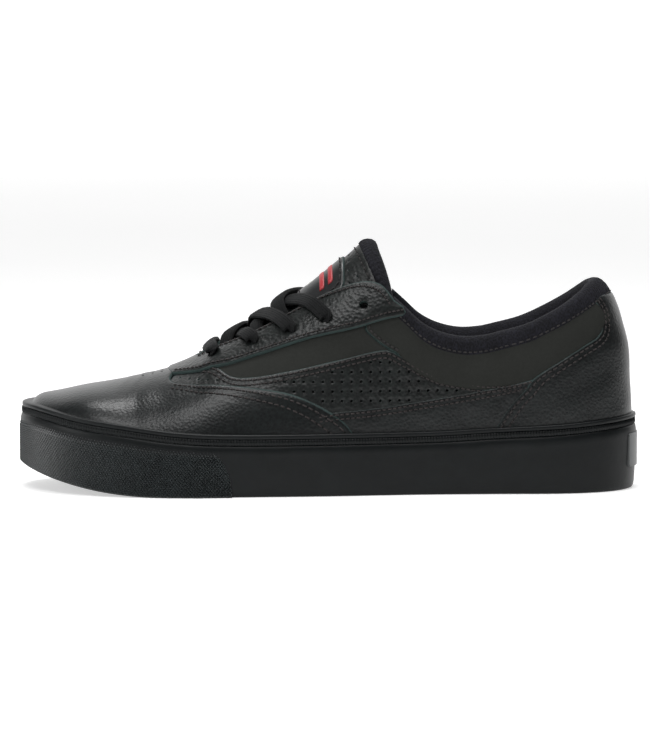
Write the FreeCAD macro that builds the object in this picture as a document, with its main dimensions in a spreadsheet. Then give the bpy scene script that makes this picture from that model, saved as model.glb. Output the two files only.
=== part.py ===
import FreeCAD, Part
import Sketcher
import math
import os

# Low-top lace-up bowling shoe, left foot, as an assembly of separate pieces.
# Frame: toe towards -X, heel towards +X, lateral (outer) side towards -Y, +Z up.
# Origin: middle of the whole shoe's box in X and Y, on the ground.

Vector = FreeCAD.Vector
doc = FreeCAD.newDocument("bowling_shoe")

# ---------------------------------------------------------------- driving sheet
DIMENSIONS = {
    "shoe_length": 296.0,
    "forefoot_width": 107.0,
    "heel_width": 75.0,
    "toe_spring": 12.2,
    "outsole_thickness": 4.0,
    "board_height": 12.0,
    "board_thickness": 1.6,
    "insole_thickness": 4.0,
    "bumper_proud": 0.8,
    "upper_inset": 4.0,
    "rib_strip_height": 3.0,
    "top_strip_height": 2.2,
    "leather_thickness": 1.4,
    "overlay_thickness": 1.5,
    "stiffener_thickness": 1.0,
    "lining_depth": 3.3,
    "collar_depth": 9.0,
    "binding_thickness": 0.8,
    "tongue_depth": 6.8,
    "tongue_leather": 1.4,
    "tongue_foam": 5.0,
    "tongue_fabric": 1.0,
    "label_thickness": 0.9,
    "lace_diameter": 3.0,
    "eyelet_diameter": 4.0,
    "aglet_length": 16.0,
    "tab_width": 34.0,
    "tab_height": 16.0,
    "tab_bottom": 11.0,
    "tab_corner": 1.5,
    "cutter_reach": 90.0,
}
sheet = doc.addObject("Spreadsheet::Sheet", "Dimensions")
for row, (alias, value) in enumerate(DIMENSIONS.items(), start=1):
    sheet.set(f"A{row}", alias)
    sheet.set(f"B{row}", str(value))
    sheet.setAlias(f"B{row}", alias)
doc.recompute()


def dim(alias):
    """The sheet's value for an alias, in millimetres."""
    return float(sheet.get(alias))


HALF_LENGTH = dim("shoe_length") / 2
LATERAL, MEDIAL = -1, 1
ENVELOPE_FLOOR = 8.0


# ---------------------------------------------------------------- shape formulas
def smooth_through(points, x):
    """Height at x of the smooth curve through hand-chosen points, flat beyond both ends."""
    if x <= points[0][0]:
        return points[0][1]
    if x >= points[-1][0]:
        return points[-1][1]
    i = max(k for k in range(len(points) - 1) if points[k][0] <= x)

    def slope(k):
        a, b = points[max(k - 1, 0)], points[min(k + 1, len(points) - 1)]
        return (b[1] - a[1]) / (b[0] - a[0])

    (x0, y0), (x1, y1) = points[i], points[i + 1]
    run = x1 - x0
    u = (x - x0) / run
    return (
        y0 * (1 + 2 * u) * (1 - u) ** 2
        + y1 * u * u * (3 - 2 * u)
        + slope(i) * run * u * (1 - u) ** 2
        + slope(i + 1) * run * u * u * (u - 1)
    )


def cap(u, power, root):
    """Rounded end of an outline: 1 for u <= 0, falling to 0 at u = 1."""
    u = min(max(u, 0.0), 1.0)
    return (1 - u**power) ** (1 / root)


BASE_WIDTH = [
    (-60, dim("forefoot_width") / 2),
    (0, 47.5),
    (40, 41.0),
    (80, dim("heel_width") / 2 + 0.3),
    (110, dim("heel_width") / 2),
]
TOE_CAP_START, HEEL_CAP_START = -60.0, 92.0


def half_width(x, inset):
    """Half width in plan of the outline that lies inset inside the widest sole outline."""
    toe = cap((TOE_CAP_START - x) / (HALF_LENGTH + TOE_CAP_START - inset), 2.3, 2)
    heel = cap((x - HEEL_CAP_START) / (HALF_LENGTH - HEEL_CAP_START - inset), 2.6, 2)
    return (smooth_through(BASE_WIDTH, x) - inset) * toe * heel


def centre_y(x):
    """The outline's middle line bends towards the medial side in front of the ball."""
    return 6.0 * max(0.0, (TOE_CAP_START - x) / (HALF_LENGTH + TOE_CAP_START)) ** 2


RIDGE = [
    (-148, 41.8), (-133.5, 43.6), (-116.6, 47.1), (-96.6, 50.6), (-86.6, 53.1),
    (-76, 55.8), (-62, 61.8), (-54, 67.6), (-40, 75.6), (-28, 83.0), (-14, 93.4),
    (0, 104.4), (13.4, 116.0), (30, 131.0), (50, 146.0), (70, 152.0),
]
RIDGE_STEP = 0.5
TOE_WALL_START = -125.0


def ridge(x, depth):
    """Height of the upper's middle line, at a depth under its outer face."""
    rise = (smooth_through(RIDGE, x + RIDGE_STEP) - smooth_through(RIDGE, x - RIDGE_STEP)) / (
        2 * RIDGE_STEP
    )
    top = smooth_through(RIDGE, x) - depth * math.sqrt(1 + rise * rise)
    wall = cap(
        (TOE_WALL_START - x) / (HALF_LENGTH + TOE_WALL_START - dim("upper_inset") - depth), 4, 4
    )
    return ENVELOPE_FLOOR + (top - ENVELOPE_FLOOR) * wall


HEEL_LEAN = [
    (36, 0.0), (51.6, 0.9), (64, 1.5), (70.5, 2.2), (78.5, 4.5), (87.2, 7.2), (94.8, 10.9),
    (99.6, 15.0), (115, 28.0), (140, 50.0),
]
LEAN_START, LEAN_RUN = 70.0, 60.0


def leaned(x, z):
    """x moved back by the amount that the heel leans forward at height z."""
    u = min(max((x - LEAN_START) / LEAN_RUN, 0.0), 1.0)
    return x + smooth_through(HEEL_LEAN, z) * u * u * (3 - 2 * u)


SIDE_POWER = 2.4


def upper_half_width(x, z, depth):
    """Half width of the upper at x and height z, at a depth under its outer face."""
    share = (z - ENVELOPE_FLOOR) / (ridge(x, depth) - ENVELOPE_FLOOR)
    if share >= 1:
        return 0.0
    return half_width(leaned(x, z), dim("upper_inset") + depth) * math.sqrt(1 - share**SIDE_POWER)


def upper_height(x, across, depth):
    """Height of the upper at x where it is across from the middle line."""
    share = min(abs(across) / half_width(x, dim("upper_inset") + depth), 0.999)
    return ENVELOPE_FLOOR + (ridge(x, depth) - ENVELOPE_FLOOR) * (1 - share * share) ** (
        1 / SIDE_POWER
    )


# ---------------------------------------------------------------- document helpers
SUBPARTS = []


def helper(kind, name, **properties):
    """A document object that other objects are built from."""
    made = doc.addObject(kind, name)
    for key, value in properties.items():
        setattr(made, key, value)
    return made


def shaped(name, shape):
    """A document object that holds one shape made from the formulas."""
    return helper("Part::Feature", name, Shape=shape)


def difference(name, base, *tools):
    """Base without each tool in turn."""
    for k, tool in enumerate(tools):
        last = k == len(tools) - 1
        base = helper("Part::Cut", name if last else f"{name}_cut{k}", Base=base, Tool=tool)
    return base


def overlap(name, base, tool):
    return helper("Part::Common", name, Base=base, Tool=tool)


def subpart(made, label):
    """Marks a document object as one of the shoe's separate pieces."""
    made.Label = label
    made.Placement = FreeCAD.Placement()
    SUBPARTS.append(made)
    return made


def side_wire(points):
    """Closed wire of straight runs in the middle plane, from (x, z) points."""
    corners = [Vector(x, 0, z) for x, z in points]
    return Part.makePolygon(corners + corners[:1])


def prism(name, points, side=0):
    """Block with a side-view outline, on one side of the middle plane or, with 0, on both."""
    outline = shaped(f"{name}_outline", side_wire(points))
    block = helper("Part::Extrusion", name, Base=outline, DirMode="Custom", Solid=True)
    block.Dir = Vector(0, side or MEDIAL, 0)
    block.Symmetric = side == 0
    block.setExpression("LengthFwd", f"Dimensions.cutter_reach * {1 if side else 2}")
    return block


def curve_points(height, start, end, step):
    """(x, z) points of a height curve at even steps."""
    count = max(2, round(abs(end - start) / step) + 1)
    return [
        (start + (end - start) * k / (count - 1), height(start + (end - start) * k / (count - 1)))
        for k in range(count)
    ]


def band(name, low, high, start=-HALF_LENGTH - 5, end=HALF_LENGTH + 5, step=9.0):
    """Block between two height curves seen from the side, right across the shoe."""
    return prism(name, curve_points(low, start, end, step) + curve_points(high, end, start, step))


def plan(name, inset, count=30):
    """Upright block with the sole's plan outline, inset from its widest line."""
    tip = HALF_LENGTH - inset
    points = []
    for k in range(2 * count):
        angle = math.pi * k / count
        x = tip * math.cos(angle)
        side = LATERAL if k < count else MEDIAL
        points.append(Vector(x, centre_y(x) + side * half_width(x, inset), 0))
    curve = Part.BSplineCurve()
    curve.interpolate(Points=points, PeriodicFlag=True)
    outline = shaped(f"{name}_outline", Part.Wire([curve.toShape()]))
    block = helper("Part::Extrusion", name, Base=outline, DirMode="Custom", Solid=True)
    block.Dir = Vector(0, 0, 1)
    block.LengthRev = 1.0
    block.setExpression("LengthFwd", "Dimensions.cutter_reach")
    return block


# ---------------------------------------------------------------- sole unit
SPRING_START, SPRING_RUN = -75.0, 72.0


def sole_bottom(x):
    """The tread's underside: flat, then rising towards the toe."""
    return dim("toe_spring") * max(0.0, (SPRING_START - x) / SPRING_RUN) ** 2.2


def tread_top(x):
    return sole_bottom(x) + dim("outsole_thickness")


def board_top(x):
    return dim("board_height") + 0.6 * sole_bottom(x)


def board_bottom(x):
    return board_top(x) - dim("board_thickness")


FOXING_TOP = [
    (-148, 37.0), (-140, 36.4), (-116.6, 31.0), (-96.7, 28.6), (-71.6, 25.6), (-46.6, 24.3),
    (0, 24.3), (49.5, 24.8), (81, 26.4), (113, 28.0), (148, 31.0),
]


def foxing_top(x):
    return smooth_through(FOXING_TOP, x)


def rib_top(x):
    return foxing_top(x) + dim("rib_strip_height")


def strip_top(x):
    return rib_top(x) + dim("top_strip_height")


plan_bumper = plan("PlanBumper", 0.0)
plan_foxing = plan("PlanFoxing", dim("bumper_proud"))
plan_strip = plan("PlanStrip", dim("bumper_proud") + 0.7)
plan_inner = plan("PlanInner", dim("upper_inset"))

outsole_body = overlap("Outsole", plan_inner, band("TreadBand", sole_bottom, tread_top))
subpart(outsole_body, "outsole")
midsole = overlap("Midsole", plan_inner, band("MidsoleBand", tread_top, board_bottom))
subpart(midsole, "midsole")
board = overlap("Board", plan_inner, band("BoardBand", board_bottom, board_top))
subpart(board, "lasting_board")

BUMPER_REAR = [(-63.5, 25.4), (-57, 23.5), (-50.5, 18.5), (-46.5, 11.5), (-43.5, -5)]
bumper_zone = prism(
    "BumperZone", [(-HALF_LENGTH - 5, -5), (-HALF_LENGTH - 5, 60), (-63.5, 60)] + BUMPER_REAR
)
wall_band = band("WallBand", sole_bottom, foxing_top)
bumper_ring = difference("BumperRing", plan_bumper, plan_inner)
foxing_ring = difference("FoxingRing", plan_foxing, plan_inner)
bumper_wall = overlap("BumperWall", bumper_ring, wall_band)
foxing_wall = overlap("FoxingWall", foxing_ring, wall_band)
subpart(overlap("ToeBumper", bumper_wall, bumper_zone), "toe_bumper")
subpart(difference("Foxing", foxing_wall, bumper_zone), "foxing")
strip_ring = difference("StripRing", plan_strip, plan_inner)
subpart(overlap("RibStrip", strip_ring, band("RibBand", foxing_top, rib_top)), "rib_strip")
subpart(overlap("TopStrip", strip_ring, band("StripBand", rib_top, strip_top)), "top_strip")

# The heel tab is a small rounded rubber plate on the foxing at the back of the heel.
tab_body = doc.addObject("PartDesign::Body", "HeelTabBody")
cross_plane = next(
    plane for plane in tab_body.Origin.OriginFeatures if plane.Role == "YZ_Plane"
)
tab_sketch = tab_body.newObject("Sketcher::SketchObject", "HeelTabSketch")
tab_sketch.AttachmentSupport = [(cross_plane, "")]
tab_sketch.MapMode = "FlatFace"
tab_half, tab_low = dim("tab_width") / 2, dim("tab_bottom")
tab_high = tab_low + dim("tab_height")
corners = [(-tab_half, tab_low), (tab_half, tab_low), (tab_half, tab_high), (-tab_half, tab_high)]
for k in range(4):
    start, end = corners[k], corners[(k + 1) % 4]
    tab_sketch.addGeometry(Part.LineSegment(Vector(*start, 0), Vector(*end, 0)))
for k in range(4):
    tab_sketch.addConstraint(Sketcher.Constraint("Coincident", k, 2, (k + 1) % 4, 1))
tab_sketch.addConstraint(Sketcher.Constraint("Horizontal", 2))
for k in (1, 3):
    tab_sketch.addConstraint(Sketcher.Constraint("Vertical", k))
tab_sketch.addConstraint(Sketcher.Constraint("Symmetric", 0, 1, 0, 2, -2))
for name, constraint in (
    ("tab_width", Sketcher.Constraint("DistanceX", 0, 1, 0, 2, 2 * tab_half)),
    ("tab_height", Sketcher.Constraint("DistanceY", 1, 1, 1, 2, tab_high - tab_low)),
    ("tab_bottom", Sketcher.Constraint("DistanceY", -1, 1, 0, 1, tab_low)),
):
    number = tab_sketch.addConstraint(constraint)
    tab_sketch.setExpression(f"Constraints[{number}]", f"Dimensions.{name}")
tab_pad = tab_body.newObject("PartDesign::Pad", "HeelTabPad")
tab_pad.Profile = tab_sketch
tab_pad.setExpression("Length", "Dimensions.shoe_length / 2")
doc.recompute()
tab_fillet = tab_body.newObject("PartDesign::Fillet", "HeelTabFillet")
long_edges = [
    f"Edge{k + 1}"
    for k, edge in enumerate(tab_pad.Shape.Edges)
    if abs(edge.tangentAt(edge.FirstParameter).x) > 0.99
]
tab_fillet.Base = (tab_pad, long_edges)
tab_fillet.setExpression("Radius", "Dimensions.tab_corner")
tab_plate = overlap("TabPlate", plan_bumper, tab_body)
subpart(difference("HeelTab", tab_plate, plan_foxing), "heel_tab")

# ---------------------------------------------------------------- upper: moulded sheets
UPPER_TIP = HALF_LENGTH - dim("upper_inset")
SIDES = ((LATERAL, "lateral"), (MEDIAL, "medial"))
LEATHER = dim("leather_thickness")
MIDDLE = LEATHER + dim("stiffener_thickness")
LINING = dim("lining_depth")
COLLAR = dim("collar_depth")
OVERLAY = dim("overlay_thickness")


HEEL_CENTRE = 70.0


def heel_place(turn, z):
    """Point around the heel at height z; turn is 0 at the back and grows towards the lateral side."""
    back = UPPER_TIP - smooth_through(HEEL_LEAN, z)
    x = HEEL_CENTRE + (back - HEEL_CENTRE) * math.cos(turn)
    if turn < 0:
        side = MEDIAL
    else:
        side = LATERAL
    return Vector(x, side * upper_half_width(x, z, 0.0), z)


def wall_place(x, z, side):
    """Point of the upper's side wall at x and height z."""
    return Vector(x, centre_y(x) + side * upper_half_width(x, z, 0.0), z)


def arch_place(x, across):
    """Point of the upper's arch, where across is the signed distance from the middle line."""
    return Vector(x, centre_y(x) + across, upper_height(x, across, 0.0))


def face_through(grid):
    surface = Part.BSplineSurface()
    surface.interpolate(grid)
    return surface


def moulded(name, place, depths, along, over, up=None):
    """Solid sheet between two depths under the surface place(u, v), with u and v from 0 to 1.

    The depths are measured square to the surface, or along the direction up where it is given.
    """
    step = 0.002
    skins = [[], []]
    for i in range(along + 1):
        rows = [[], []]
        for j in range(over + 1):
            u, v = i / along, j / over
            middle = place(u, v)
            if up is None:
                run = place(min(u + step, 1), v) - place(max(u - step, 0), v)
                rise = place(u, min(v + step, 1)) - place(u, max(v - step, 0))
                normal = run.cross(rise).normalize()
                if normal.dot(middle - Vector(middle.x * 0.9, centre_y(middle.x), 25)) < 0:
                    normal = -normal
            else:
                normal = up
            for row, depth in zip(rows, depths):
                row.append(middle - normal * depth)
        for skin, row in zip(skins, rows):
            skin.append(row)
    surfaces = [face_through(skin) for skin in skins]
    faces = [surface.toShape() for surface in surfaces]
    for iso, first in (("uIso", 0), ("vIso", 2)):
        for end in (0, 1):
            edges = [
                getattr(surface, iso)(surface.bounds()[first + end]).toShape()
                for surface in surfaces
            ]
            faces.append(Part.makeRuledSurface(*edges))
    shell = Part.Compound(faces)
    shell.sewShape()
    solid = Part.Solid(shell.Shells[0])
    if solid.Volume < 0:
        solid.reverse()
    return shaped(name, solid)


def between(low, high, share):
    return low + (high - low) * share


# ---------------------------------------------------------------- upper: outlines
TOPLINE = [
    (31, 91.5), (37, 86.0), (44, 79.5), (52.5, 75.0), (63, 72.6), (73, 73.0), (81, 74.8),
    (93, 78.1), (105.5, 83.8), (116.4, 90.0), (124, 95.5), (129.5, 99.0), (140, 99.5),
]
THROAT = [
    (-62, 0.5), (-61, 5.0), (-58, 8.5), (-52, 12.0), (-44, 15.0), (-34, 17.0), (-20, 19.0),
    (-4, 21.0), (7, 23.0), (17, 25.0), (25, 27.3), (31, 30.0),
]
PANEL_TOP = [
    (-62, 56.5), (-55, 56.8), (-45.5, 55.8), (-38, 55.3), (-22.9, 57.6), (0, 62.5), (18.8, 67.0),
    (26.3, 68.2), (30.1, 67.4), (37.7, 63.3), (52.3, 56.0), (66.9, 53.0), (84, 52.6), (96, 54.2),
]
WEDGE_TOP = [(-2, 38.0), (22.6, 41.3), (42.8, 44.2), (63.3, 47.5), (85, 51.4), (95.9, 54.0)]
COUNTER_EDGE = [
    (12, 76.0), (24, 77.0), (32, 79.2), (38.5, 83.2), (44.6, 87.9), (50, 93.0), (56, 99.5),
    (63, 109.7), (69, 118.5), (76, 123.5), (84, 125.0), (100, 125.0),
]
SEAM = [(64, 34.0), (66.7, 32.3), (71.3, 24.8), (75.5, 20.5), (79, 21.5), (84, 27.0), (91, 31.3)]
VAMP_REAR, SIDE_PANEL_REAR = -62.0, 84.0
WEDGE_START, WEDGE_RISE = -24.0, 24.0
FLOOR_GAP, GAP, LAYER_GAP, COUNTER_GAP = 0.3, 0.05, 0.3, 0.5
SETTLE_ROUNDS = 24


def topline(x):
    return smooth_through(TOPLINE, x)


def throat(x):
    """Half the gap between the lace stays at x."""
    return smooth_through(THROAT, x)


def panel_top(x):
    return smooth_through(PANEL_TOP, x)


def wedge_top(x):
    return smooth_through(WEDGE_TOP, x)


def upper_floor(x):
    return board_top(x) + FLOOR_GAP


def counter_edge(z):
    return smooth_through(COUNTER_EDGE, z)


def seam(z):
    return smooth_through(SEAM, z)


def upper_edge(x):
    """Height of the upper's free edge: the throat in front of the ankle, then the topline."""
    start = TOPLINE[0][0]
    if x >= start:
        return topline(x)
    return between(
        upper_height(x, throat(x), 0.0), topline(start), max(0.0, (x - 22) / (start - 22)) ** 2
    )


def panel_bottom(x):
    """Lower edge of the perforated side panel: the board, then the wedge's upper edge."""
    share = min(max((x - WEDGE_START) / WEDGE_RISE, 0.0), 1.0)
    return between(upper_floor(x), wedge_top(x), share * share * (3 - 2 * share))


def meeting(edge, height):
    """Point (x, z) where an edge given as x by height meets one given as height by x."""
    z = 60.0
    for _ in range(SETTLE_ROUNDS):
        x = edge(z)
        z = height(x)
    return x, z


def wall_sheet(name, start, end, low, high, depths, side, along=12, over=8):
    """Sheet on one side wall; start and end give x by height, low and high give height by x.

    Inside, its points are blended from all four edges.
    """
    (corner_a, corner_b), (corner_c, corner_d) = (
        [meeting(edge, height) for height in (low, high)] for edge in (start, end)
    )

    def place(u, v):
        low_x = between(corner_a[0], corner_c[0], u)
        high_x = between(corner_b[0], corner_d[0], u)
        start_z = between(corner_a[1], corner_b[1], v)
        end_z = between(corner_c[1], corner_d[1], v)
        x, z = (
            between(at_low, at_high, v)
            + between(at_start, at_end, u)
            - between(between(a, b, v), between(c, d, v), u)
            for at_low, at_high, at_start, at_end, a, b, c, d in zip(
                (low_x, low(low_x)), (high_x, high(high_x)),
                (start(start_z), start_z), (end(end_z), end_z),
                corner_a, corner_b, corner_c, corner_d,
            )
        )
        return wall_place(x, z, side)

    return moulded(name, place, depths, along, over)


def level(value):
    return lambda _: value


def turn_of(x, z):
    """The turn around the heel where the upper at height z reaches x."""
    back = UPPER_TIP - smooth_through(HEEL_LEAN, z)
    return math.acos(min(max((x - HEEL_CENTRE) / (back - HEEL_CENTRE), -0.99), 1.0))


def heel_sheet(name, front, low, high, depths, along=32, over=14):
    """Sheet around the heel; front gives x of its front edges by height."""

    def place(u, v):
        x = front(60.0)
        for _ in range(SETTLE_ROUNDS):
            z = between(low(x), high(x), v)
            turn = turn_of(front(z), z) * (1 - 2 * u)
            x = heel_place(turn, z).x
        return heel_place(turn, z)

    return moulded(name, place, depths, along, over)


# ---------------------------------------------------------------- upper: front
def toe_sheet(name, rear, depths, along=26, over=20):
    """Sheet over the toe, from its tip back to rear, reaching down to the lasting board."""
    tip = -UPPER_TIP + 0.15

    def place(u, v):
        x = between(tip, rear, 1 - math.cos(u * math.pi / 2))
        low = (upper_floor(x) - ENVELOPE_FLOOR) / (ridge(x, 0.0) - ENVELOPE_FLOOR)
        angle = math.asin(math.sqrt(1 - min(low, 0.97) ** SIDE_POWER)) * (2 * v - 1)
        return arch_place(x, half_width(x, dim("upper_inset")) * math.sin(angle))

    return moulded(name, place, depths, along, over)


subpart(toe_sheet("Vamp", VAMP_REAR - GAP, (0.0, LEATHER)), "vamp")
subpart(toe_sheet("ToePuff", -112.0, (LEATHER, MIDDLE)), "toe_puff")
subpart(toe_sheet("VampLining", VAMP_REAR - GAP, (MIDDLE, LINING)), "vamp_lining")

# ---------------------------------------------------------------- upper: eyelet holes
EYELETS = [(-53.5, 64.4), (-34.5, 71.0), (-17.0, 76.9), (-0.4, 82.8), (16.9, 88.7)]
PIN_DEPTH, PIN_PROUD = 9.0, 5.0


def outward(x, z):
    """Unit normal of the upper's outer face on the medial side, at x and height z."""
    step = 0.5
    run = wall_place(x + step, z, MEDIAL) - wall_place(x - step, z, MEDIAL)
    rise = wall_place(x, z + step, MEDIAL) - wall_place(x, z - step, MEDIAL)
    normal = rise.cross(run)
    normal.normalize()
    return normal


def on_upper(x, z, depth, side):
    """Point at a depth under (or, if negative, over) the outer face, measured square to it."""
    place = wall_place(x, z, MEDIAL) - outward(x, z) * depth
    return Vector(place.x, side * place.y, place.z)


eyelet_pins = []
for side, word in SIDES:
    for k, (x, z) in enumerate(EYELETS):
        pin = doc.addObject("Part::Cylinder", f"EyeletPin{k}_{word}")
        pin.setExpression("Radius", "Dimensions.eyelet_diameter / 2")
        pin.Height = PIN_DEPTH + PIN_PROUD
        normal = outward(x, z)
        way = FreeCAD.Rotation(Vector(0, 0, 1), Vector(normal.x, side * normal.y, normal.z))
        pin.Placement = FreeCAD.Placement(on_upper(x, z, PIN_DEPTH, side), way)
        eyelet_pins.append(pin)
eyelet_cutter = helper("Part::Compound", "EyeletCutter", Links=eyelet_pins)

# ---------------------------------------------------------------- upper: side panels
SKIN = (0.0, LEATHER)
QUARTER_FRONT = -60.0
SIDE_PARTS = {
    "quarter": (level(QUARTER_FRONT), seam, lambda x: panel_top(x) + GAP, upper_edge),
    "side_panel": (
        level(VAMP_REAR), level(SIDE_PANEL_REAR), panel_bottom, lambda x: panel_top(x) - GAP
    ),
    "rear_wedge": (
        level(WEDGE_START + 6.0), lambda z: counter_edge(z) - COUNTER_GAP, upper_floor,
        lambda x: panel_bottom(x) - GAP,
    ),
    "collar_panel": (
        lambda z: seam(z) + GAP, lambda z: counter_edge(z) - COUNTER_GAP, lambda x: panel_top(x) + GAP,
        upper_edge,
    ),
}
for panel, edges in SIDE_PARTS.items():
    for side, word in SIDES:
        sheet_part = wall_sheet(f"Sheet_{panel}_{word}", *edges, SKIN, side, along=26, over=6)
        if panel == "quarter":
            sheet_part = difference(f"Punched_{panel}_{word}", sheet_part, eyelet_cutter)
        subpart(sheet_part, f"{panel}_{word}")
subpart(heel_sheet("HeelCounter", counter_edge, upper_floor, topline, SKIN), "heel_counter")

# The lace stay is one U: its outer and throat edges are followed from one rear tip to the other.
STAY_LOW = [(35.4, 84.0), (15, 78.8), (-7.7, 73.5), (-30.4, 66.0), (-49.3, 60.0), (-64.5, 55.9)]
STAY_THROAT = [31.5, 15.0, -6.0, -26.0, -45.0, -57.0]
STAY_NOSE = [((-72.0, 15.0), (-60.8, 5.5)), ((-75.5, 0.0), (-62.0, 0.0))]
stay_pairs = [
    ((x, upper_half_width(x, z, 0.0)), (inner_x, throat(inner_x)))
    for (x, z), inner_x in zip(STAY_LOW, STAY_THROAT)
]
stay_pairs += STAY_NOSE
stay_pairs += [((a, -b), (c, -d)) for (a, b), (c, d) in reversed(stay_pairs[:-1])]


stay_tracks = [
    list(enumerate(track)) for track in zip(*((*outer, *inner) for outer, inner in stay_pairs))
]


def stay_place(u, v):
    """Point of the lace stay: u along the U, v from its outer edge to the throat."""
    outer_x, outer_y, inner_x, inner_y = (
        smooth_through(track, u * (len(stay_pairs) - 1)) for track in stay_tracks
    )
    return arch_place(between(outer_x, inner_x, v), between(outer_y, inner_y, v))


stay_blank = moulded(
    "StayBlank", stay_place, (-OVERLAY - LAYER_GAP, -LAYER_GAP), 4 * len(stay_pairs) - 4, 6
)
subpart(difference("EyeStay", stay_blank, eyelet_cutter), "eyestay")

# ---------------------------------------------------------------- upper: inside
STIFFENER_TOP = 62.0
subpart(
    heel_sheet(
        "HeelStiffener", lambda z: 84.0 + 0.5 * z, upper_floor, level(STIFFENER_TOP),
        (LEATHER + LAYER_GAP / 2, MIDDLE - LAYER_GAP),
    ),
    "heel_stiffener",
)
INNER_FRONT, LINING_REAR = -59.0, 84.0
for side, word in SIDES:
    foam = wall_sheet(
        f"FoamBlank_{word}", level(INNER_FRONT), level(LINING_REAR), upper_floor, upper_edge,
        (LEATHER + LAYER_GAP, MIDDLE), side, 36,
    )
    subpart(difference(f"QuarterFoam_{word}", foam, eyelet_cutter), f"quarter_foam_{word}")
    lining = wall_sheet(
        f"LiningBlank_{word}", level(INNER_FRONT), level(LINING_REAR), upper_floor, upper_edge,
        (MIDDLE, LINING), side, 36,
    )
    subpart(difference(f"QuarterLining_{word}", lining, eyelet_cutter), f"quarter_lining_{word}")
subpart(
    heel_sheet("HeelLining", level(LINING_REAR), upper_floor, topline, (MIDDLE, LINING)),
    "heel_lining",
)
COLLAR_FRONT, COLLAR_BAND, CAP_HEIGHT = 42.0, 26.0, 1.4
subpart(
    heel_sheet(
        "CollarPad", level(COLLAR_FRONT), lambda x: topline(x) - COLLAR_BAND,
        lambda x: topline(x) - 4 * GAP, (LINING + 6 * GAP, COLLAR), 28,
    ),
    "collar_pad",
)
subpart(
    heel_sheet(
        "CollarBinding", level(COLLAR_FRONT), lambda x: topline(x) + 6 * GAP,
        lambda x: topline(x) + CAP_HEIGHT,
        (-dim("binding_thickness"), COLLAR), 28, 2,
    ),
    "collar_binding",
)
insole_block = plan("InsoleBlock", dim("upper_inset") + LINING + 1.0)
insole_band = band("InsoleBand", board_top, lambda x: board_top(x) + dim("insole_thickness"))
subpart(overlap("Insole", insole_block, insole_band), "insole")

# ---------------------------------------------------------------- tongue
TONGUE_FRONT, TONGUE_REAR, TONGUE_SIDE_REAR = -64.0, 15.5, 29.0
CROWN_DROP = [(-66, 6.0), (-60, 5.0), (-54, 2.8), (-44, 1.6)]
TONGUE_UP = Vector(-0.6, 0, 0.8)
TONGUE_HALF = [(-66, 24.0), (-30, 27.0), (0, 27.5), (20, 26.0)]


def tongue_height(x, across):
    """Height of the tongue's face: under the stays, and arched up between them."""
    lift = ridge(x, 0.0) - smooth_through(CROWN_DROP, x) - ridge(x, dim("tongue_depth"))
    share = min(abs(across) / (throat(max(x, -60.0)) + 2.0), 1.0)
    return upper_height(x, across, dim("tongue_depth")) + lift * (1 - share * share) ** 2


def tongue_end(across):
    """x of the tongue's free end, further back at its sides."""
    return between(TONGUE_REAR, TONGUE_SIDE_REAR, (across / TONGUE_HALF[-1][1]) ** 2)


def tongue_sheet(name, start, end, depths, along=12, over=14, half=None):
    """Sheet of the tongue; start and end give x by the distance across."""

    def place(u, v):
        across = (2 * v - 1) * (half or 26.0)
        for _ in range(4):
            x = between(start(across), end(across), u)
            across = (2 * v - 1) * (half or smooth_through(TONGUE_HALF, x))
        return Vector(x, centre_y(x) + across, tongue_height(x, across))

    return moulded(name, place, depths, along, over, TONGUE_UP)


FACE = dim("tongue_leather")
FOAM = FACE + dim("tongue_foam")
BACK = FOAM + dim("tongue_fabric")
BINDING_RUN, BINDING_WALL = 3.0, 0.5
for label, depths in (
    ("tongue_face", (0.0, FACE)), ("tongue_foam", (FACE, FOAM)), ("tongue_lining", (FOAM, BACK))
):
    subpart(tongue_sheet(f"Sheet_{label}", level(TONGUE_FRONT), tongue_end, depths), label)
subpart(
    tongue_sheet(
        "TongueBinding", lambda across: tongue_end(across) + LAYER_GAP,
        lambda across: tongue_end(across) + BINDING_RUN,
        (-BINDING_WALL, BACK + BINDING_WALL), 3, 24,
    ),
    "tongue_binding",
)
LABEL_FRONT, LABEL_REAR, LABEL_HALF = -11.0, 9.0, 15.0
subpart(
    tongue_sheet(
        "TongueLabel", level(LABEL_FRONT), level(LABEL_REAR),
        (-dim("label_thickness") - LAYER_GAP, -LAYER_GAP), 5, 10, LABEL_HALF,
    ),
    "tongue_label",
)

# ---------------------------------------------------------------- lace
LACE_RADIUS = dim("lace_diameter") / 2
CLEARANCE = 1.5
LEAD_LIFT = 3.4
CROSSINGS = [-42.0, -29.5, -18.5]
STACK = dim("lace_diameter") + 0.4


def over_tongue(x, across, lift):
    """Point over the tongue's face, lifted square to its slope along the shoe."""
    step = 0.5
    rise = (tongue_height(x + step, across) - tongue_height(x - step, across)) / (2 * step)
    normal = Vector(-rise, 0, 1)
    normal.normalize()
    return Vector(x, across, tongue_height(x, across)) + normal * lift


def through_eyelet(k, side):
    """The lace's two points on one eyelet's axis: over the stay and inside the shoe."""
    x, z = EYELETS[k]
    return (
        on_upper(x, z, -(OVERLAY + LACE_RADIUS + 0.8), side),
        on_upper(x, z, LINING + LACE_RADIUS, side),
    )


TUCK_STEPS = [(9, -10, 0.2), (18, -20, 1.0), (27, -29, 3.0)]


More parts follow.
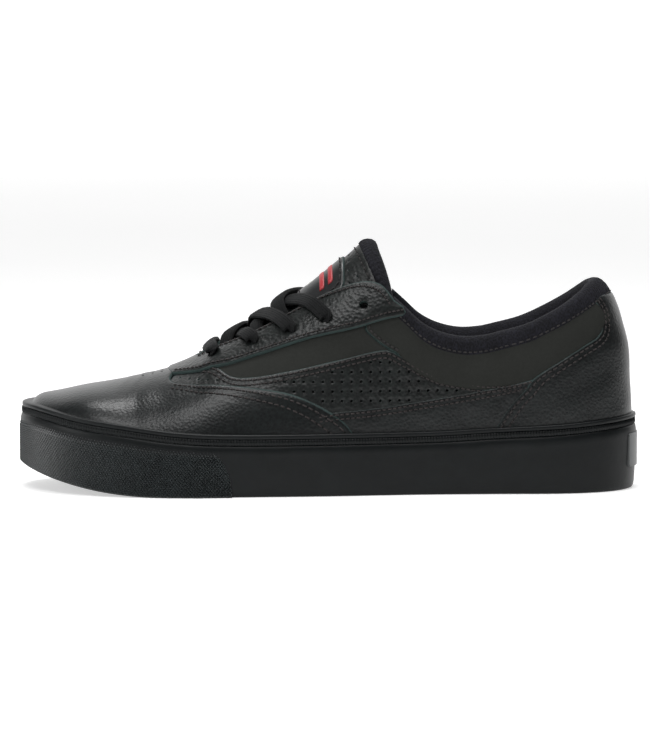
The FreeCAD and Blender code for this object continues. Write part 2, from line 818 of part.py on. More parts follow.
def strand(side):
    """One strand's route, from its first eyelet to its tucked end."""
    points = list(through_eyelet(0, side))
    for k, crossing in enumerate(CROSSINGS):
        lead = between(EYELETS[k][0], crossing, 0.4)
        points.append(over_tongue(lead, side * throat(lead) * 0.5, LACE_RADIUS + LEAD_LIFT))
        lift = LACE_RADIUS + CLEARANCE + (STACK if side == LATERAL else 0.0)
        side = -side
        points.append(over_tongue(crossing + 3, side * 4.0, lift))
        points += through_eyelet(k + 1, side)
    x, z = EYELETS[-2]
    under = LINING + LACE_RADIUS
    return points + [on_upper(x + dx, z + dz, under + gap, side) for dx, dz, gap in TUCK_STEPS]


bar_top = over_tongue(EYELETS[0][0], 0.0, LACE_RADIUS + LEAD_LIFT)
lace_route = strand(LATERAL)[::-1] + [bar_top] + strand(MEDIAL)


def rounded_path(points):
    """Wire of straight runs through the points, joined by tangent arcs."""
    edges, start, radii = [], points[0], []
    for before, corner, after in zip(points, points[1:], points[2:]):
        run_in, run_out = corner - before, after - corner
        turn = run_in.getAngle(run_out)
        setback = 0.45 * min(run_in.Length, run_out.Length)
        radii.append(setback / math.tan(turn / 2))
        way_in, way_out = run_in.normalize(), run_out.normalize()
        first, last = corner - way_in * setback, corner + way_out * setback
        inward = way_out - way_in
        inward.normalize()
        sag = radii[-1] / math.cos(turn / 2) - radii[-1]
        edges.append(Part.LineSegment(start, first).toShape())
        edges.append(Part.Arc(first, corner + inward * sag, last).toShape())
        start = last
    edges.append(Part.LineSegment(start, points[-1]).toShape())
    return Part.Wire(edges), radii


lace_wire, lace_radii = rounded_path(lace_route)
lace_path = shaped("LacePath", lace_wire)
lace_section = helper("Part::Circle", "LaceSection")
lace_section.setExpression("Radius", "Dimensions.lace_diameter / 2")
first_run = lace_route[1] - lace_route[0]
lace_section.Placement = FreeCAD.Placement(
    lace_route[0], FreeCAD.Rotation(Vector(0, 0, 1), first_run)
)
lace = helper("Part::Sweep", "Lace", Sections=[lace_section], Solid=True)
lace.Spine = (lace_path, [f"Edge{k + 1}" for k in range(len(lace_wire.Edges))])
subpart(lace, "lace")

aglets = []
for end, beyond in ((lace_route[0], lace_route[1]), (lace_route[-1], lace_route[-2])):
    way = end - beyond
    way.normalize()
    aglet = doc.addObject("Part::Cylinder", f"Aglet{len(aglets)}")
    aglet.setExpression("Radius", "Dimensions.lace_diameter / 2")
    aglet.setExpression("Height", "Dimensions.aglet_length")
    aglet.Placement = FreeCAD.Placement(end, FreeCAD.Rotation(Vector(0, 0, 1), way))
    aglets.append(aglet)
subpart(helper("Part::Compound", "Aglets", Links=aglets), "lace_aglets")

# ---------------------------------------------------------------- checks and export
doc.recompute()
for item in doc.Objects:
    if "Invalid" in item.State or "Error" in item.State:
        raise RuntimeError(f"{item.Name} failed: {item.State}")
for item in SUBPARTS:
    if item.Shape.isNull() or not item.Shape.isValid() or not item.Shape.Solids:
        raise RuntimeError(f"{item.Label} has no valid solid")

tube_volume = math.pi * LACE_RADIUS**2 * lace_wire.Length
print("lace length", round(lace_wire.Length, 1), "tightest radius", round(min(lace_radii), 2))
print("lace volume over section times length", round(lace.Shape.Volume / tube_volume, 4))
os.makedirs("parts", exist_ok=True)
for item in SUBPARTS:
    item.Shape.exportStep(os.path.join("parts", f"{item.Label}.step"))
print(len(SUBPARTS), "pieces written")
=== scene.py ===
import math

import bpy
import numpy as np
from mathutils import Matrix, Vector
from mathutils.geometry import delaunay_2d_cdt


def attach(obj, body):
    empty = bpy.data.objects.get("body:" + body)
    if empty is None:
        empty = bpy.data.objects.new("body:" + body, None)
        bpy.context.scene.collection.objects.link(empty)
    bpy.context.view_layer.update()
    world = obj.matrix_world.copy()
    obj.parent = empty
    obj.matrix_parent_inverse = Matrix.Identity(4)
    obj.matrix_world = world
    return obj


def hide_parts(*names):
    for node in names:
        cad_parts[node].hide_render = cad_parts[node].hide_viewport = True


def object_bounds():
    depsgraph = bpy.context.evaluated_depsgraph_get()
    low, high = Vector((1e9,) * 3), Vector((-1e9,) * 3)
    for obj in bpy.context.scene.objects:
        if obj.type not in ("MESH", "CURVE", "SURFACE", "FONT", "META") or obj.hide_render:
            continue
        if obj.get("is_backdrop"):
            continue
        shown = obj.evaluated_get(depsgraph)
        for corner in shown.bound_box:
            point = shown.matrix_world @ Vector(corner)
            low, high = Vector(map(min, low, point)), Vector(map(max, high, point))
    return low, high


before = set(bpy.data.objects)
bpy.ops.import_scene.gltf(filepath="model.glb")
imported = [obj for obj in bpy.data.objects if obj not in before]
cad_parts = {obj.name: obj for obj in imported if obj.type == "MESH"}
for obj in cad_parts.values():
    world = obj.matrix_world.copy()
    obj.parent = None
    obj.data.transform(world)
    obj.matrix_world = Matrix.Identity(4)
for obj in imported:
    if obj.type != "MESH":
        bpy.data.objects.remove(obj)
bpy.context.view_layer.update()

# Low-top lace-up bowling shoe, left foot. Lengths in the formulas are millimetres.
# Frame: toe towards -X, heel towards +X, lateral side towards -Y, +Z up, ground at z = 0.
MM = 0.001
LATERAL, MEDIAL = -1, 1
SIDES = ((LATERAL, "lateral"), (MEDIAL, "medial"))
HALF_LENGTH = 148.0


# ---------------------------------------------------------------- shape formulas
def smooth_through(points, x):
    """Smooth curve through listed points, flat beyond both ends."""
    table = np.asarray(points, float)
    px, py = table[:, 0], table[:, 1]
    k = np.arange(len(px))
    before, after = np.maximum(k - 1, 0), np.minimum(k + 1, len(px) - 1)
    slope = (py[after] - py[before]) / (px[after] - px[before])
    x = np.clip(np.asarray(x, float), px[0], px[-1])
    i = np.clip(np.searchsorted(px, x, side="right") - 1, 0, len(px) - 2)
    run = px[i + 1] - px[i]
    u = (x - px[i]) / run
    return (
        py[i] * (1 + 2 * u) * (1 - u) ** 2
        + py[i + 1] * u * u * (3 - 2 * u)
        + slope[i] * run * u * (1 - u) ** 2
        + slope[i + 1] * run * u * u * (u - 1)
    )


def cap(u, power, root):
    """Rounds a width off: 1 up to u = 0, then down to 0 at u = 1."""
    return (1 - np.clip(u, 0, 1) ** power) ** (1 / root)


def smoothstep(low, high, x):
    """0 at low, 1 at high, with a smooth passage between."""
    u = np.clip((np.asarray(x, float) - low) / (high - low), 0, 1)
    return u * u * (3 - 2 * u)


def signed_power(value, power):
    return math.copysign(abs(value) ** power, value)


def dip(x, centre, width):
    """Bell shape, 1 at the centre."""
    return np.exp(-(((x - centre) / width) ** 2))


def ripple(x, y, z, size):
    """Slow unevenness between about -1 and 1, with a wavelength of about size."""
    k = 2 * math.pi / size
    return (
        np.sin(k * x + 1.3 * np.sin(0.7 * k * z + 0.4))
        + np.sin(0.83 * k * z + 2.1 + 1.1 * np.sin(0.6 * k * x + 0.3 * k * y))
        + np.sin(0.61 * k * (x + z) + 0.5 * k * y + 4.0)
    ) / 3


BASE_WIDTH = [(-60, 53.5), (0, 47.5), (40, 41.0), (80, 37.8), (110, 37.5)]
RIDGE = [
    (-148, 41.8), (-133.5, 43.6), (-116.6, 47.1), (-96.6, 50.6), (-86.6, 53.1),
    (-76, 55.8), (-62, 61.8), (-54, 67.6), (-40, 75.6), (-28, 83.0), (-14, 93.4),
    (0, 104.4), (13.4, 116.0), (30, 131.0), (50, 146.0), (70, 152.0),
]
HEEL_LEAN = [
    (36, 0.0), (51.6, 0.9), (64, 1.5), (70.5, 2.2), (78.5, 4.5), (87.2, 7.2), (94.8, 10.9),
    (99.6, 15.0), (115, 28.0), (140, 50.0),
]
TOPLINE = [
    (31, 91.5), (37, 86.0), (44, 79.5), (52.5, 75.0), (63, 72.6), (73, 73.0), (81, 74.8),
    (93, 78.1), (105.5, 83.8), (116.4, 90.0), (124, 95.5), (129.5, 99.0), (140, 99.5),
]
THROAT = [
    (-62, 0.5), (-61, 5.0), (-58, 8.5), (-52, 12.0), (-44, 15.0), (-34, 17.0), (-20, 19.0),
    (-4, 21.0), (7, 23.0), (17, 25.0), (25, 27.3), (31, 30.0),
]
FOXING_TOP = [
    (-148, 35.6), (-140, 35.2), (-116.6, 31.0), (-96.7, 28.6), (-71.6, 25.6), (-46.6, 24.3),
    (0, 24.3), (49.5, 24.8), (81, 26.4), (113, 28.0), (148, 31.0),
]
FLOOR, INSET, SIDE_POWER = 8.0, 4.0, 2.4
RIB_HEIGHT, STRIP_HEIGHT, RIB_PITCH = 3.0, 2.2, 1.35


def half_width(x, inset):
    """Half width in plan of the outline that lies inset inside the widest sole outline."""
    toe = cap((-60 - x) / (88 - inset), 2.3, 2)
    heel = cap((x - 92) / (56 - inset), 2.6, 2)
    return (smooth_through(BASE_WIDTH, x) - inset) * toe * heel


def centre_y(x):
    """The toe swings slightly to the medial side."""
    return 6 * np.maximum(0, (-60 - x) / 88) ** 2


def ridge(x, depth=0.0):
    """Height of the upper's middle line, at a depth under its outer face."""
    rise = smooth_through(RIDGE, x + 0.5) - smooth_through(RIDGE, x - 0.5)
    top = smooth_through(RIDGE, x) - depth * np.sqrt(1 + rise * rise)
    return FLOOR + (top - FLOOR) * cap((-131 - x) / (13 - depth), 4, 4)


def heel_back(z):
    """x of the upper's rearmost point at a height."""
    return HALF_LENGTH - INSET - smooth_through(HEEL_LEAN, z)


def leaned(x, z):
    """x of the plan outline that ends up at x once the heel has leaned forward."""
    return x + smooth_through(HEEL_LEAN, z) * smoothstep(70, 130, x)


def upper_half_width(x, z, depth=0.0):
    """Half width of the upper at a height, at a depth under its outer face."""
    share = np.clip((z - FLOOR) / (ridge(x, depth) - FLOOR), 0, 1)
    return half_width(leaned(x, z), INSET + depth) * np.sqrt(1 - share**SIDE_POWER)


def upper_height(x, across, depth=0.0):
    share = np.minimum(np.abs(across) / half_width(x, INSET + depth), 0.999)
    return FLOOR + (ridge(x, depth) - FLOOR) * (1 - share * share) ** (1 / SIDE_POWER)


def throat(x):
    """Half width of the opening between the lace stays."""
    return smooth_through(THROAT, x)


def topline(x):
    return smooth_through(TOPLINE, x)


def sole_bottom(x):
    """Height of the underside, which lifts towards the toe."""
    return 12.2 * np.maximum(0, (-75 - x) / 72) ** 2.2


def board_top(x):
    return 12.0 + 0.6 * sole_bottom(x)


def foxing_top(x):
    """Height of the rubber wall, where the ribbed strip begins."""
    return smooth_through(FOXING_TOP, x)


def strip_top(x):
    return foxing_top(x) + RIB_HEIGHT + STRIP_HEIGHT


# ---------------------------------------------------------------- charts: flat (s, t) to the shoe
def wall_chart(side):
    """Side wall: s is x and t is z."""
    return lambda s, t: np.stack([s, centre_y(s) + side * upper_half_width(s, t), t], -1)


def arch_chart(s, t):
    """Top of the upper: s is x and t is the distance across from the middle line."""
    return np.stack([s, centre_y(s) + t, upper_height(s, t)], -1)


TOE_TIP, TOE_SPAN, TOE_RUN, TOE_TURN = -143.85, 166.0, 200.0, 42.0


def toe_power(x):
    """The arch grows boxier towards the tip, where it fills the blunt end of the sole."""
    return SIDE_POWER + 6.5 * smoothstep(-88, -141, x)


def toe_x(s):
    return TOE_TIP + TOE_SPAN * (1 - np.cos(s / TOE_RUN * math.pi / 2))


def toe_station(x):
    """The s of the toe chart at an x."""
    return TOE_RUN * 2 / math.pi * np.arccos(1 - (x - TOE_TIP) / TOE_SPAN)


def arch_point(x, angle, power):
    """Point of the upper at an angle round its arch from the middle line."""
    z = FLOOR + (ridge(x) - FLOOR) * np.maximum(np.cos(angle), 0) ** (2 / power)
    return np.stack([x, centre_y(x) + half_width(x, INSET) * np.sin(angle), z], -1)


def arch_angle(x, z, power):
    share = np.clip((z - FLOOR) / (ridge(x) - FLOOR), 0, 1)
    return np.arccos(share ** (power / 2))


def toe_chart(s, t):
    """Toe: s runs back from the tip, closely spaced there, and t runs round the arch."""
    x = toe_x(s)
    return arch_point(x, t / TOE_TURN, toe_power(x))


def on_toe_chart(points, side):
    """(s, t) on the toe chart of (x, z) points seen from the side."""
    x, z = np.asarray(points, float).T
    return np.stack([toe_station(x), side * TOE_TURN * arch_angle(x, z, toe_power(x))], -1)


def arch_reach(x):
    """Millimetres on the upper per radian round its arch, where the lace stays lie."""
    return 0.64 * np.sqrt(half_width(x, INSET) ** 2 + (ridge(x) - FLOOR) ** 2)


def stay_chart(s, t):
    """Top of the upper: s is x and t runs round the arch from the middle line."""
    return arch_point(s, t / arch_reach(s), SIDE_POWER)


def on_stay_chart(points, side):
    """(s, t) on the stay chart of (x, z) points seen from the side."""
    x, z = np.asarray(points, float).T
    return np.stack([x, side * arch_reach(x) * arch_angle(x, z, SIDE_POWER)], -1)


def across_stay_chart(x, across):
    """(s, t) on the stay chart of points at a distance across from the middle line."""
    return np.stack([x, arch_reach(x) * np.arcsin(across / half_width(x, INSET))], -1)


HEEL_TURN, HEEL_CENTRE = 45.0, 70.0


def heel_chart(s, t):
    """Round the heel: s is 0 at the back and grows towards the lateral side, t is z."""
    turn = s / HEEL_TURN
    x = HEEL_CENTRE + (heel_back(t) - HEEL_CENTRE) * np.cos(turn)
    return np.stack([x, np.where(turn < 0, 1, -1) * upper_half_width(x, t), t], -1)


def on_heel_chart(points, side):
    x, z = np.asarray(points, float).T
    turn = np.arccos(np.clip((x - HEEL_CENTRE) / (heel_back(z) - HEEL_CENTRE), -1, 1))
    return np.stack([-side * HEEL_TURN * turn, z], -1)


def with_normals(chart, s, t, step=0.05):
    """Points of a chart and its outward unit normals there."""
    run = chart(s + step, t) - chart(s - step, t)
    rise = chart(s, t + step) - chart(s, t - step)
    normal = np.cross(run, rise)
    length = np.linalg.norm(normal, axis=-1, keepdims=True)
    points = chart(s, t)
    middle = np.stack([points[..., 0] * 0.9, centre_y(points[..., 0]), 25 + 0 * s], -1)
    sign = np.where(((points - middle) * normal).sum(-1, keepdims=True) < 0, -1, 1)
    return points, normal * sign / np.maximum(length, 1e-9)


def lifted(chart, s, t, lift):
    """Points of a chart, raised along its normals."""
    points, normals = with_normals(chart, s, t)
    return points + normals * np.asarray(lift)[..., None]


# ---------------------------------------------------------------- meshes
def make_mesh(name, vertices, faces, materials, face_material=None, smooth=True):
    """Mesh object from vertices in millimetres, cleaned of doubled points."""
    data = bpy.data.meshes.new(name)
    data.from_pydata((np.asarray(vertices, float) * MM).tolist(), [], [list(f) for f in faces])
    for material in materials:
        data.materials.append(material)
    if face_material is not None:
        data.polygons.foreach_set("material_index", np.asarray(face_material, np.int32))
    data.polygons.foreach_set("use_smooth", np.full(len(data.polygons), smooth))
    data.validate()
    data.update()
    made = bpy.data.objects.new(name, data)
    bpy.context.scene.collection.objects.link(made)
    return made


def placed(piece, body, slot, *nodes):
    """The piece, riding on its body and standing for its CAD nodes."""
    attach(piece, body)
    if nodes:
        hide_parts(*nodes)
    return piece


def grid_faces(rows, columns, closed_rows=False, closed_columns=False):
    """Quads of a grid of vertices, row by row."""
    i, j = np.meshgrid(
        np.arange(rows if closed_rows else rows - 1),
        np.arange(columns if closed_columns else columns - 1), indexing="ij",
    )
    down, across = (i + 1) % rows, (j + 1) % columns
    quads = np.stack([i * columns + j, i * columns + across, down * columns + across,
                      down * columns + j], -1)
    return quads.reshape(-1, 4)


def turn_outward(piece):
    """Makes a closed piece's faces look outward."""
    data = piece.data
    total = 0.0
    for face in data.polygons:
        first = data.vertices[face.vertices[0]].co
        for k in range(1, len(face.vertices) - 1):
            a, b = (data.vertices[face.vertices[k + m]].co for m in (0, 1))
            total += first.dot(a.cross(b))
    if total < 0:
        data.flip_normals()


def closed_skin(name, rows, material, capped=True):
    """Skin round a bundle of lines that run side by side along a piece."""
    stations, count = len(rows[0]), len(rows)
    faces = [tuple(face) for face in grid_faces(stations, count, closed_columns=True)]
    if capped:
        faces.append(tuple(range(count)))
        faces.append(tuple(range((stations - 1) * count, stations * count))[::-1])
    made = make_mesh(name, np.stack(rows, 1).reshape(-1, 3), faces, [material])
    turn_outward(made)
    return made


# ---------------------------------------------------------------- lines in the flat charts
def lengths_along(points):
    return np.r_[0, np.cumsum(np.linalg.norm(np.diff(points, axis=0), axis=1))]


def smooth_line(points, step):
    """Smooth curve through points, cut into even steps."""
    points = np.asarray(points, float)
    along = lengths_along(points)
    fine = np.linspace(0, along[-1], max(int(along[-1] / step * 4), 8))
    curve = np.stack([smooth_through(np.stack([along, c], -1), fine) for c in points.T], -1)
    return even_line(curve, step)


def even_line(points, step):
    """The line cut into even steps."""
    points = np.asarray(points, float)
    along = lengths_along(points)
    marks = np.linspace(0, along[-1], max(int(round(along[-1] / step)) + 1, 2))
    return np.stack([np.interp(marks, along, c) for c in points.T], -1)


def line_normals(points):
    way = np.gradient(points, axis=0)
    way /= np.maximum(np.linalg.norm(way, axis=1, keepdims=True), 1e-9)
    return np.stack([-way[:, 1], way[:, 0]], -1)


def beside(points, distance):
    """The line at a distance to the left of a line."""
    return points + line_normals(points) * distance


def in_batches(work, points, size, kind=float):
    """work(points) done in batches, so that its tables stay small."""
    found = [work(points[k : k + size]) for k in range(0, len(points), size)]
    return np.concatenate(found) if found else np.zeros(0, kind)


def distances(points, line):
    """Distance of each point to a polyline."""
    a, b = line[:-1], line[1:]
    way = b - a
    length = np.maximum((way * way).sum(1), 1e-12)

    def nearest(batch):
        p = batch[:, None]
        u = np.clip(((p - a) * way).sum(-1) / length, 0, 1)
        return np.sqrt((((a + u[..., None] * way) - p) ** 2).sum(-1)).min(1)

    return in_batches(nearest, points, 2000)


def inside(points, loop):
    """Whether each point lies in a closed outline."""
    a, b = loop, np.roll(loop, -1, axis=0)

    def crossed(batch):
        x, y = batch[:, :1], batch[:, 1:]
        spans = (a[:, 1] > y) != (b[:, 1] > y)
        with np.errstate(divide="ignore", invalid="ignore"):
            cut = a[:, 0] + (y - a[:, 1]) / (b[:, 1] - a[:, 1]) * (b[:, 0] - a[:, 0])
        return (spans & (x < cut)).sum(1) % 2 == 1

    return in_batches(crossed, points, 4000, bool)


def nearest_ids(points, wanted):
    """Index of the point nearest to each wanted one."""
    return in_batches(
        lambda batch: ((batch[:, None] - points) ** 2).sum(-1).argmin(1), wanted, 500
    ).tolist()


def hole_frames(chart, holes, step=0.05):
    """Per hole, the matrix from chart offsets to millimetres on the leather, and its inverse."""
    s, t = holes.T
    run = (chart(s + step, t) - chart(s - step, t)) / (2 * step)
    rise = (chart(s, t + step) - chart(s, t - step)) / (2 * step)
    tangents = np.stack([run, rise], -1)
    metric = np.linalg.cholesky(np.swapaxes(tangents, 1, 2) @ tangents)
    return np.swapaxes(metric, 1, 2), np.linalg.inv(np.swapaxes(metric, 1, 2))


def hole_gaps(points, holes, frames):
    """Distance on the leather of each chart point to the nearest hole's centre."""

    def nearest(batch):
        away = batch[:, None] - holes
        return np.linalg.norm((frames @ away[..., None])[..., 0], axis=-1).min(1)

    return in_batches(nearest, points, 1500)


def edge_rings(outline, loop):
    """Rows of points that follow the outline inwards, so that the rolled edge comes out even."""
    rings = []
    for inset in (0.45, 0.9, 1.4, 2.1):
        ring = beside(loop, inset)[:-1]
        keep = (distances(ring, loop) > inset * 0.93) & inside(ring, outline)
        rings.append(ring[keep][:: 1 if inset < 1 else 2])
    return rings


def field_points(outline, loop, spacing):
    """Staggered grid of points that fills the outline inside its edge rings."""
    low, high = outline.min(0), outline.max(0)
    gx, gy = np.meshgrid(np.arange(low[0], high[0], spacing),
                         np.arange(low[1], high[1], spacing * 0.87), indexing="xy")
    gx[1::2] += spacing / 2
    field = np.stack([gx.ravel(), gy.ravel()], -1)
    field = field[inside(field, outline)]
    return field[distances(field, loop) > 2.1 + 0.4 * spacing]


def cut_panel(name, chart, outline, lift, skirt, materials, holes=(), hole_radius=0.6,
              relief=None, spacing=1.7, roll=0.9, hole_floor=True):
    """Piece of leather cut to an outline in a chart, with a rounded edge and punched holes.

    lift is the height of its face over the chart, skirt that of the foot of its cut edge.
    materials are those of the face, the cut edge and the bottom of the holes, which is painted
    near-black as shade.
    """
    outline = even_line(np.vstack([outline, outline[:1]]), 0.9)[:-1]
    loop = np.vstack([outline, outline[:1]])
    area = ((loop[:-1, 0] * loop[1:, 1]) - (loop[1:, 0] * loop[:-1, 1])).sum() / 2
    if area < 0:
        outline, loop = outline[::-1], loop[::-1]
    rings, field = edge_rings(outline, loop), field_points(outline, loop, spacing)
    holes = np.asarray(holes, float).reshape(-1, 2)
    count = 16 if hole_radius > 1 else 7
    angles = np.arange(count) * 2 * math.pi / count
    circle = np.stack([np.cos(angles), np.sin(angles)], -1)
    flat = [outline] + rings
    if len(holes):
        frames, unframes = hole_frames(chart, holes)
        away = [hole_gaps(part, holes, frames) for part in (field, *rings)]
        field = field[away[0] > hole_radius + 0.75]
        rings = [ring[gap > hole_radius + 0.5] for ring, gap in zip(rings, away[1:])]
        round_hole = np.einsum("hij,cj->hci", unframes, circle)
        lips = (holes[:, None] + round_hole * (hole_radius + 0.3)).reshape(-1, 2)
        rims = (holes[:, None] + round_hole * hole_radius).reshape(-1, 2)
        flat = [outline] + rings + [lips]
    flat += [field]
    start_rims = sum(len(part) for part in flat)
    if len(holes):
        flat += [rims]
    flat = np.vstack(flat)
    n = len(outline)
    edges = [(k, (k + 1) % n) for k in range(n)]
    for h in range(len(holes)):
        base = start_rims + h * count
        edges += [(base + k, base + (k + 1) % count) for k in range(count)]
    cut = delaunay_2d_cdt([Vector(p) for p in flat], edges, [], 0, 1e-5, False)
    flat = np.array([tuple(p) for p in cut[0]])
    triangles = np.array(cut[2])
    centres = flat[triangles].mean(1)
    keep = inside(centres, outline)
    if len(holes):
        keep &= hole_gaps(centres, holes, frames) > hole_radius * 0.9
    triangles = triangles[keep]
    gap = distances(flat, loop)
    height = lift - roll * 0.75 * np.clip(1 - gap / roll, 0, 1) ** 1.3
    if len(holes):
        height = height - 0.18 * (hole_gaps(flat, holes, frames) < hole_radius * 1.05)
    if relief is not None:
        height = height + relief(flat[:, 0], flat[:, 1], gap)
    vertices = [lifted(chart, flat[:, 0], flat[:, 1], height)]
    faces = [tuple(f) for f in triangles]
    kinds = (distances(flat[triangles].mean(1), loop) < 0.55).astype(int).tolist()
    used = len(flat)
    edge_top = nearest_ids(flat, outline)
    vertices.append(lifted(chart, outline[:, 0], outline[:, 1], np.full(n, skirt)))
    faces += [(edge_top[k], used + k, used + (k + 1) % n, edge_top[(k + 1) % n]) for k in range(n)]
    kinds += [1] * n
    used += n
    if len(holes):
        rim_ids = nearest_ids(flat, rims)
        vertices.append(lifted(chart, rims[:, 0], rims[:, 1], np.full(len(rims), skirt)))
        for h in range(len(holes)):
            for k in range(count):
                a, b = h * count + k, h * count + (k + 1) % count
                faces.append((rim_ids[b], used + b, used + a, rim_ids[a]))
                kinds.append(1)
            # Each hole gets a near-black floor disc: painted shade inside the hole.
            if hole_floor:
                faces.append(tuple(used + h * count + k for k in range(count)))
                kinds.append(2)
    vertices = np.vstack(vertices)
    sample = triangles[len(triangles) // 2]
    _, normal = with_normals(chart, *flat[sample[:1]].T)
    a, b, c = vertices[sample]
    if np.dot(np.cross(b - a, c - a), normal[0]) < 0:
        faces = [f[::-1] for f in faces]
    return make_mesh(name, vertices, faces, materials, kinds)


def stitches(name, rows, material, pitch=2.5, length=1.75, radius=0.36):
    """Sewn rows as one mesh, with a painted-shade dot at each needle hole; each row is (chart, line,
    lift of the leather's face).
    """
    vertices, faces, kinds, used = [], [], [], 0
    share = np.array([0.0, 0.18, 0.5, 0.82, 1.0])
    bow = np.array([-0.45, 0.5, 0.85, 0.5, -0.45])
    girth = np.array([0.6, 1.0, 1.0, 1.0, 0.6])
    angles = np.arange(6) * math.pi / 3
    for chart, line, lift in rows:
        line = even_line(line, pitch)
        for a, b in zip(line[:-1], line[1:]):
            ends = a + (b - a) * np.array([[0.5 - length / pitch / 2], [0.5 + length / pitch / 2]])
            flat = ends[0] + (ends[1] - ends[0]) * share[:, None]
            points, normals = with_normals(chart, flat[:, 0], flat[:, 1])
            way = points[-1] - points[0]
            way /= max(np.linalg.norm(way), 1e-9)
            across = np.cross(normals, way)
            ring = (
                points[:, None]
                + normals[:, None] * (
                    lift + radius * bow[:, None] + radius * girth[:, None] * np.sin(angles)
                )[..., None]
                + across[:, None] * (radius * girth[:, None] * np.cos(angles))[..., None]
            )
            vertices.append(ring.reshape(-1, 3))
            faces += [tuple(face + used) for face in grid_faces(5, 6, closed_columns=True)]
            # A near-black disc just over the leather at each stitch end: painted shade of the needle
            # hole.
            pricked, normal = with_normals(chart, a[:1], a[1:])
            side = np.cross(normal[0], way)
            vertices.append(
                pricked + normal * (lift + 0.05)
                + 0.46 * (np.cos(angles)[:, None] * way + np.sin(angles)[:, None] * side)
            )
            faces.append(tuple(range(used + 30, used + 36)))
            kinds += [0] * 24 + [1]
            used += 36
    return make_mesh(name, np.vstack(vertices), faces, [material, painted_hole_shade], kinds)


# ---------------------------------------------------------------- finishes
def colour(red, green, blue):
    """Linear colour from 0-255 display values."""
    c = np.array([red, green, blue]) / 255
    linear = np.where(c <= 0.04045, c / 12.92, ((c + 0.055) / 1.055) ** 2.4)
    return (*(float(v) for v in linear), 1.0)


PATTERNS = {
    "VORONOI": ("TexVoronoi", "Distance", {"Smoothness": 0.35}),
    "WAVE": ("TexWave", "Fac", {"Distortion": 1.5}),
    "NOISE": ("TexNoise", "Fac", {"Detail": 6.0}),
}


def add_node(tree, kind, constants, **linked):
    """New shader node with some inputs set and others linked from sockets."""
    node = tree.nodes.new("ShaderNode" + kind)
    if kind == "TexVoronoi":
        node.feature = "SMOOTH_F1"
    for socket, value in constants.items():
        node.inputs[socket].default_value = value
    for socket, source in linked.items():
        tree.links.new(source, node.inputs[socket])
    return node


def finish(name, dark, light, roughness, pattern="NOISE", size=1.0, bump=0.3, depth=0.15,
           stretch=(1, 1, 1), specular=0.5, spread=(0.35, 0.65)):
    """Procedural finish: a pattern of the given size in millimetres drives colour and relief."""
    made = bpy.data.materials.new(name)
    made.use_nodes = True
    tree = made.node_tree
    shader = tree.nodes["Principled BSDF"]
    shader.inputs["Roughness"].default_value = roughness
    shader.inputs["Specular IOR Level"].default_value = specular
    place = tree.nodes.new("ShaderNodeTexCoord").outputs["Object"]
    scaled = add_node(tree, "Mapping", {"Scale": [1000 / (size * s) for s in stretch]},
                      Vector=place)
    kind, output, settings = PATTERNS[pattern]
    texture = add_node(tree, kind, {"Scale": 1.0, **settings}, Vector=scaled.outputs["Vector"])
    value = texture.outputs[output]
    blotch = add_node(tree, "TexNoise", {"Scale": 70.0, "Detail": 5.0}, Vector=place)
    faded = add_node(tree, "Math", {1: 0.45})
    faded.operation = "MULTIPLY"
    tree.links.new(blotch.outputs["Fac"], faded.inputs[0])
    mixed = add_node(tree, "Math", {1: 0.55})
    mixed.operation = "MULTIPLY_ADD"
    tree.links.new(value, mixed.inputs[0])
    tree.links.new(faded.outputs["Value"], mixed.inputs[2])
    ramp = add_node(tree, "ValToRGB", {}, Fac=mixed.outputs["Value"])
    for element, position, shade in zip(ramp.color_ramp.elements, spread, (dark, light)):
        element.position, element.color = position, colour(*shade)
    tree.links.new(ramp.outputs["Color"], shader.inputs["Base Color"])
    grain = add_node(tree, "TexNoise", {"Scale": 3200 / size, "Detail": 3.0}, Vector=place)
    relief = add_node(tree, "Bump", {"Strength": bump, "Distance": depth * MM}, Height=value)
    fuzz = add_node(tree, "Bump", {"Strength": 0.3, "Distance": 0.06 * MM},
                    Height=grain.outputs["Fac"], Normal=relief.outputs["Normal"])
    tree.links.new(fuzz.outputs["Normal"], shader.inputs["Normal"])
    return made


leather = finish("grained_leather", (11, 13, 13), (22, 26, 25), 0.36, "VORONOI", 1.7, 0.8, 0.24,
                 specular=0.34)
fine_leather = finish("fine_leather", (11, 13, 14), (21, 25, 25), 0.34, "VORONOI", 1.35, 0.7, 0.13,
                      specular=0.34)
punched = finish("perforated_leather", (11, 13, 13), (22, 26, 25), 0.38, "VORONOI", 1.55, 0.8, 0.2,
                 specular=0.34)
nubuck = finish("nubuck", (36, 37, 35), (47, 48, 46), 0.95, "NOISE", 1.2, 0.25, 0.15,
                specular=0.1, spread=(0.1, 0.9))
cut_edge = finish("cut_edge", (24, 38, 37), (40, 58, 56), 0.85, "NOISE", 0.5, 0.4, 0.2)
# Near-black painted shade, for the floors of punched holes and for needle holes.
painted_hole_shade = finish("painted_hole_shade", (5, 5, 6), (10, 10, 11), 0.95, "NOISE", 0.5)
thread = finish("thread", (30, 26, 26), (58, 51, 50), 0.75, "WAVE", 0.35, 0.5, 0.1)
dark_thread = finish("dark_thread", (26, 24, 24), (48, 44, 44), 0.75, "WAVE", 0.35, 0.5, 0.1)
knit = finish("collar_knit", (10, 10, 14), (26, 26, 33), 0.9, "VORONOI", 0.75, 0.9, 0.35,
              stretch=(1, 1, 1.5), specular=0.25)
textile = finish("lining_textile", (22, 22, 24), (38, 38, 40), 0.92, "VORONOI", 0.9, 0.8, 0.3)
lace_cloth = finish("lace_cord", (12, 13, 14), (27, 29, 30), 0.75, "WAVE", 0.55, 0.9, 0.25,
                    stretch=(1, 0.5, 1), specular=0.25)
foxing_rubber = finish("foxing_rubber", (8, 10, 11), (16, 20, 21), 0.42, "NOISE", 7.0, 0.3, 0.5,
                       specular=0.2, spread=(0.1, 0.9))
bumper_rubber = finish("bumper_rubber", (26, 30, 31), (38, 43, 44), 0.4, "NOISE", 3.0, 0.1, 0.1,
                       specular=0.7)
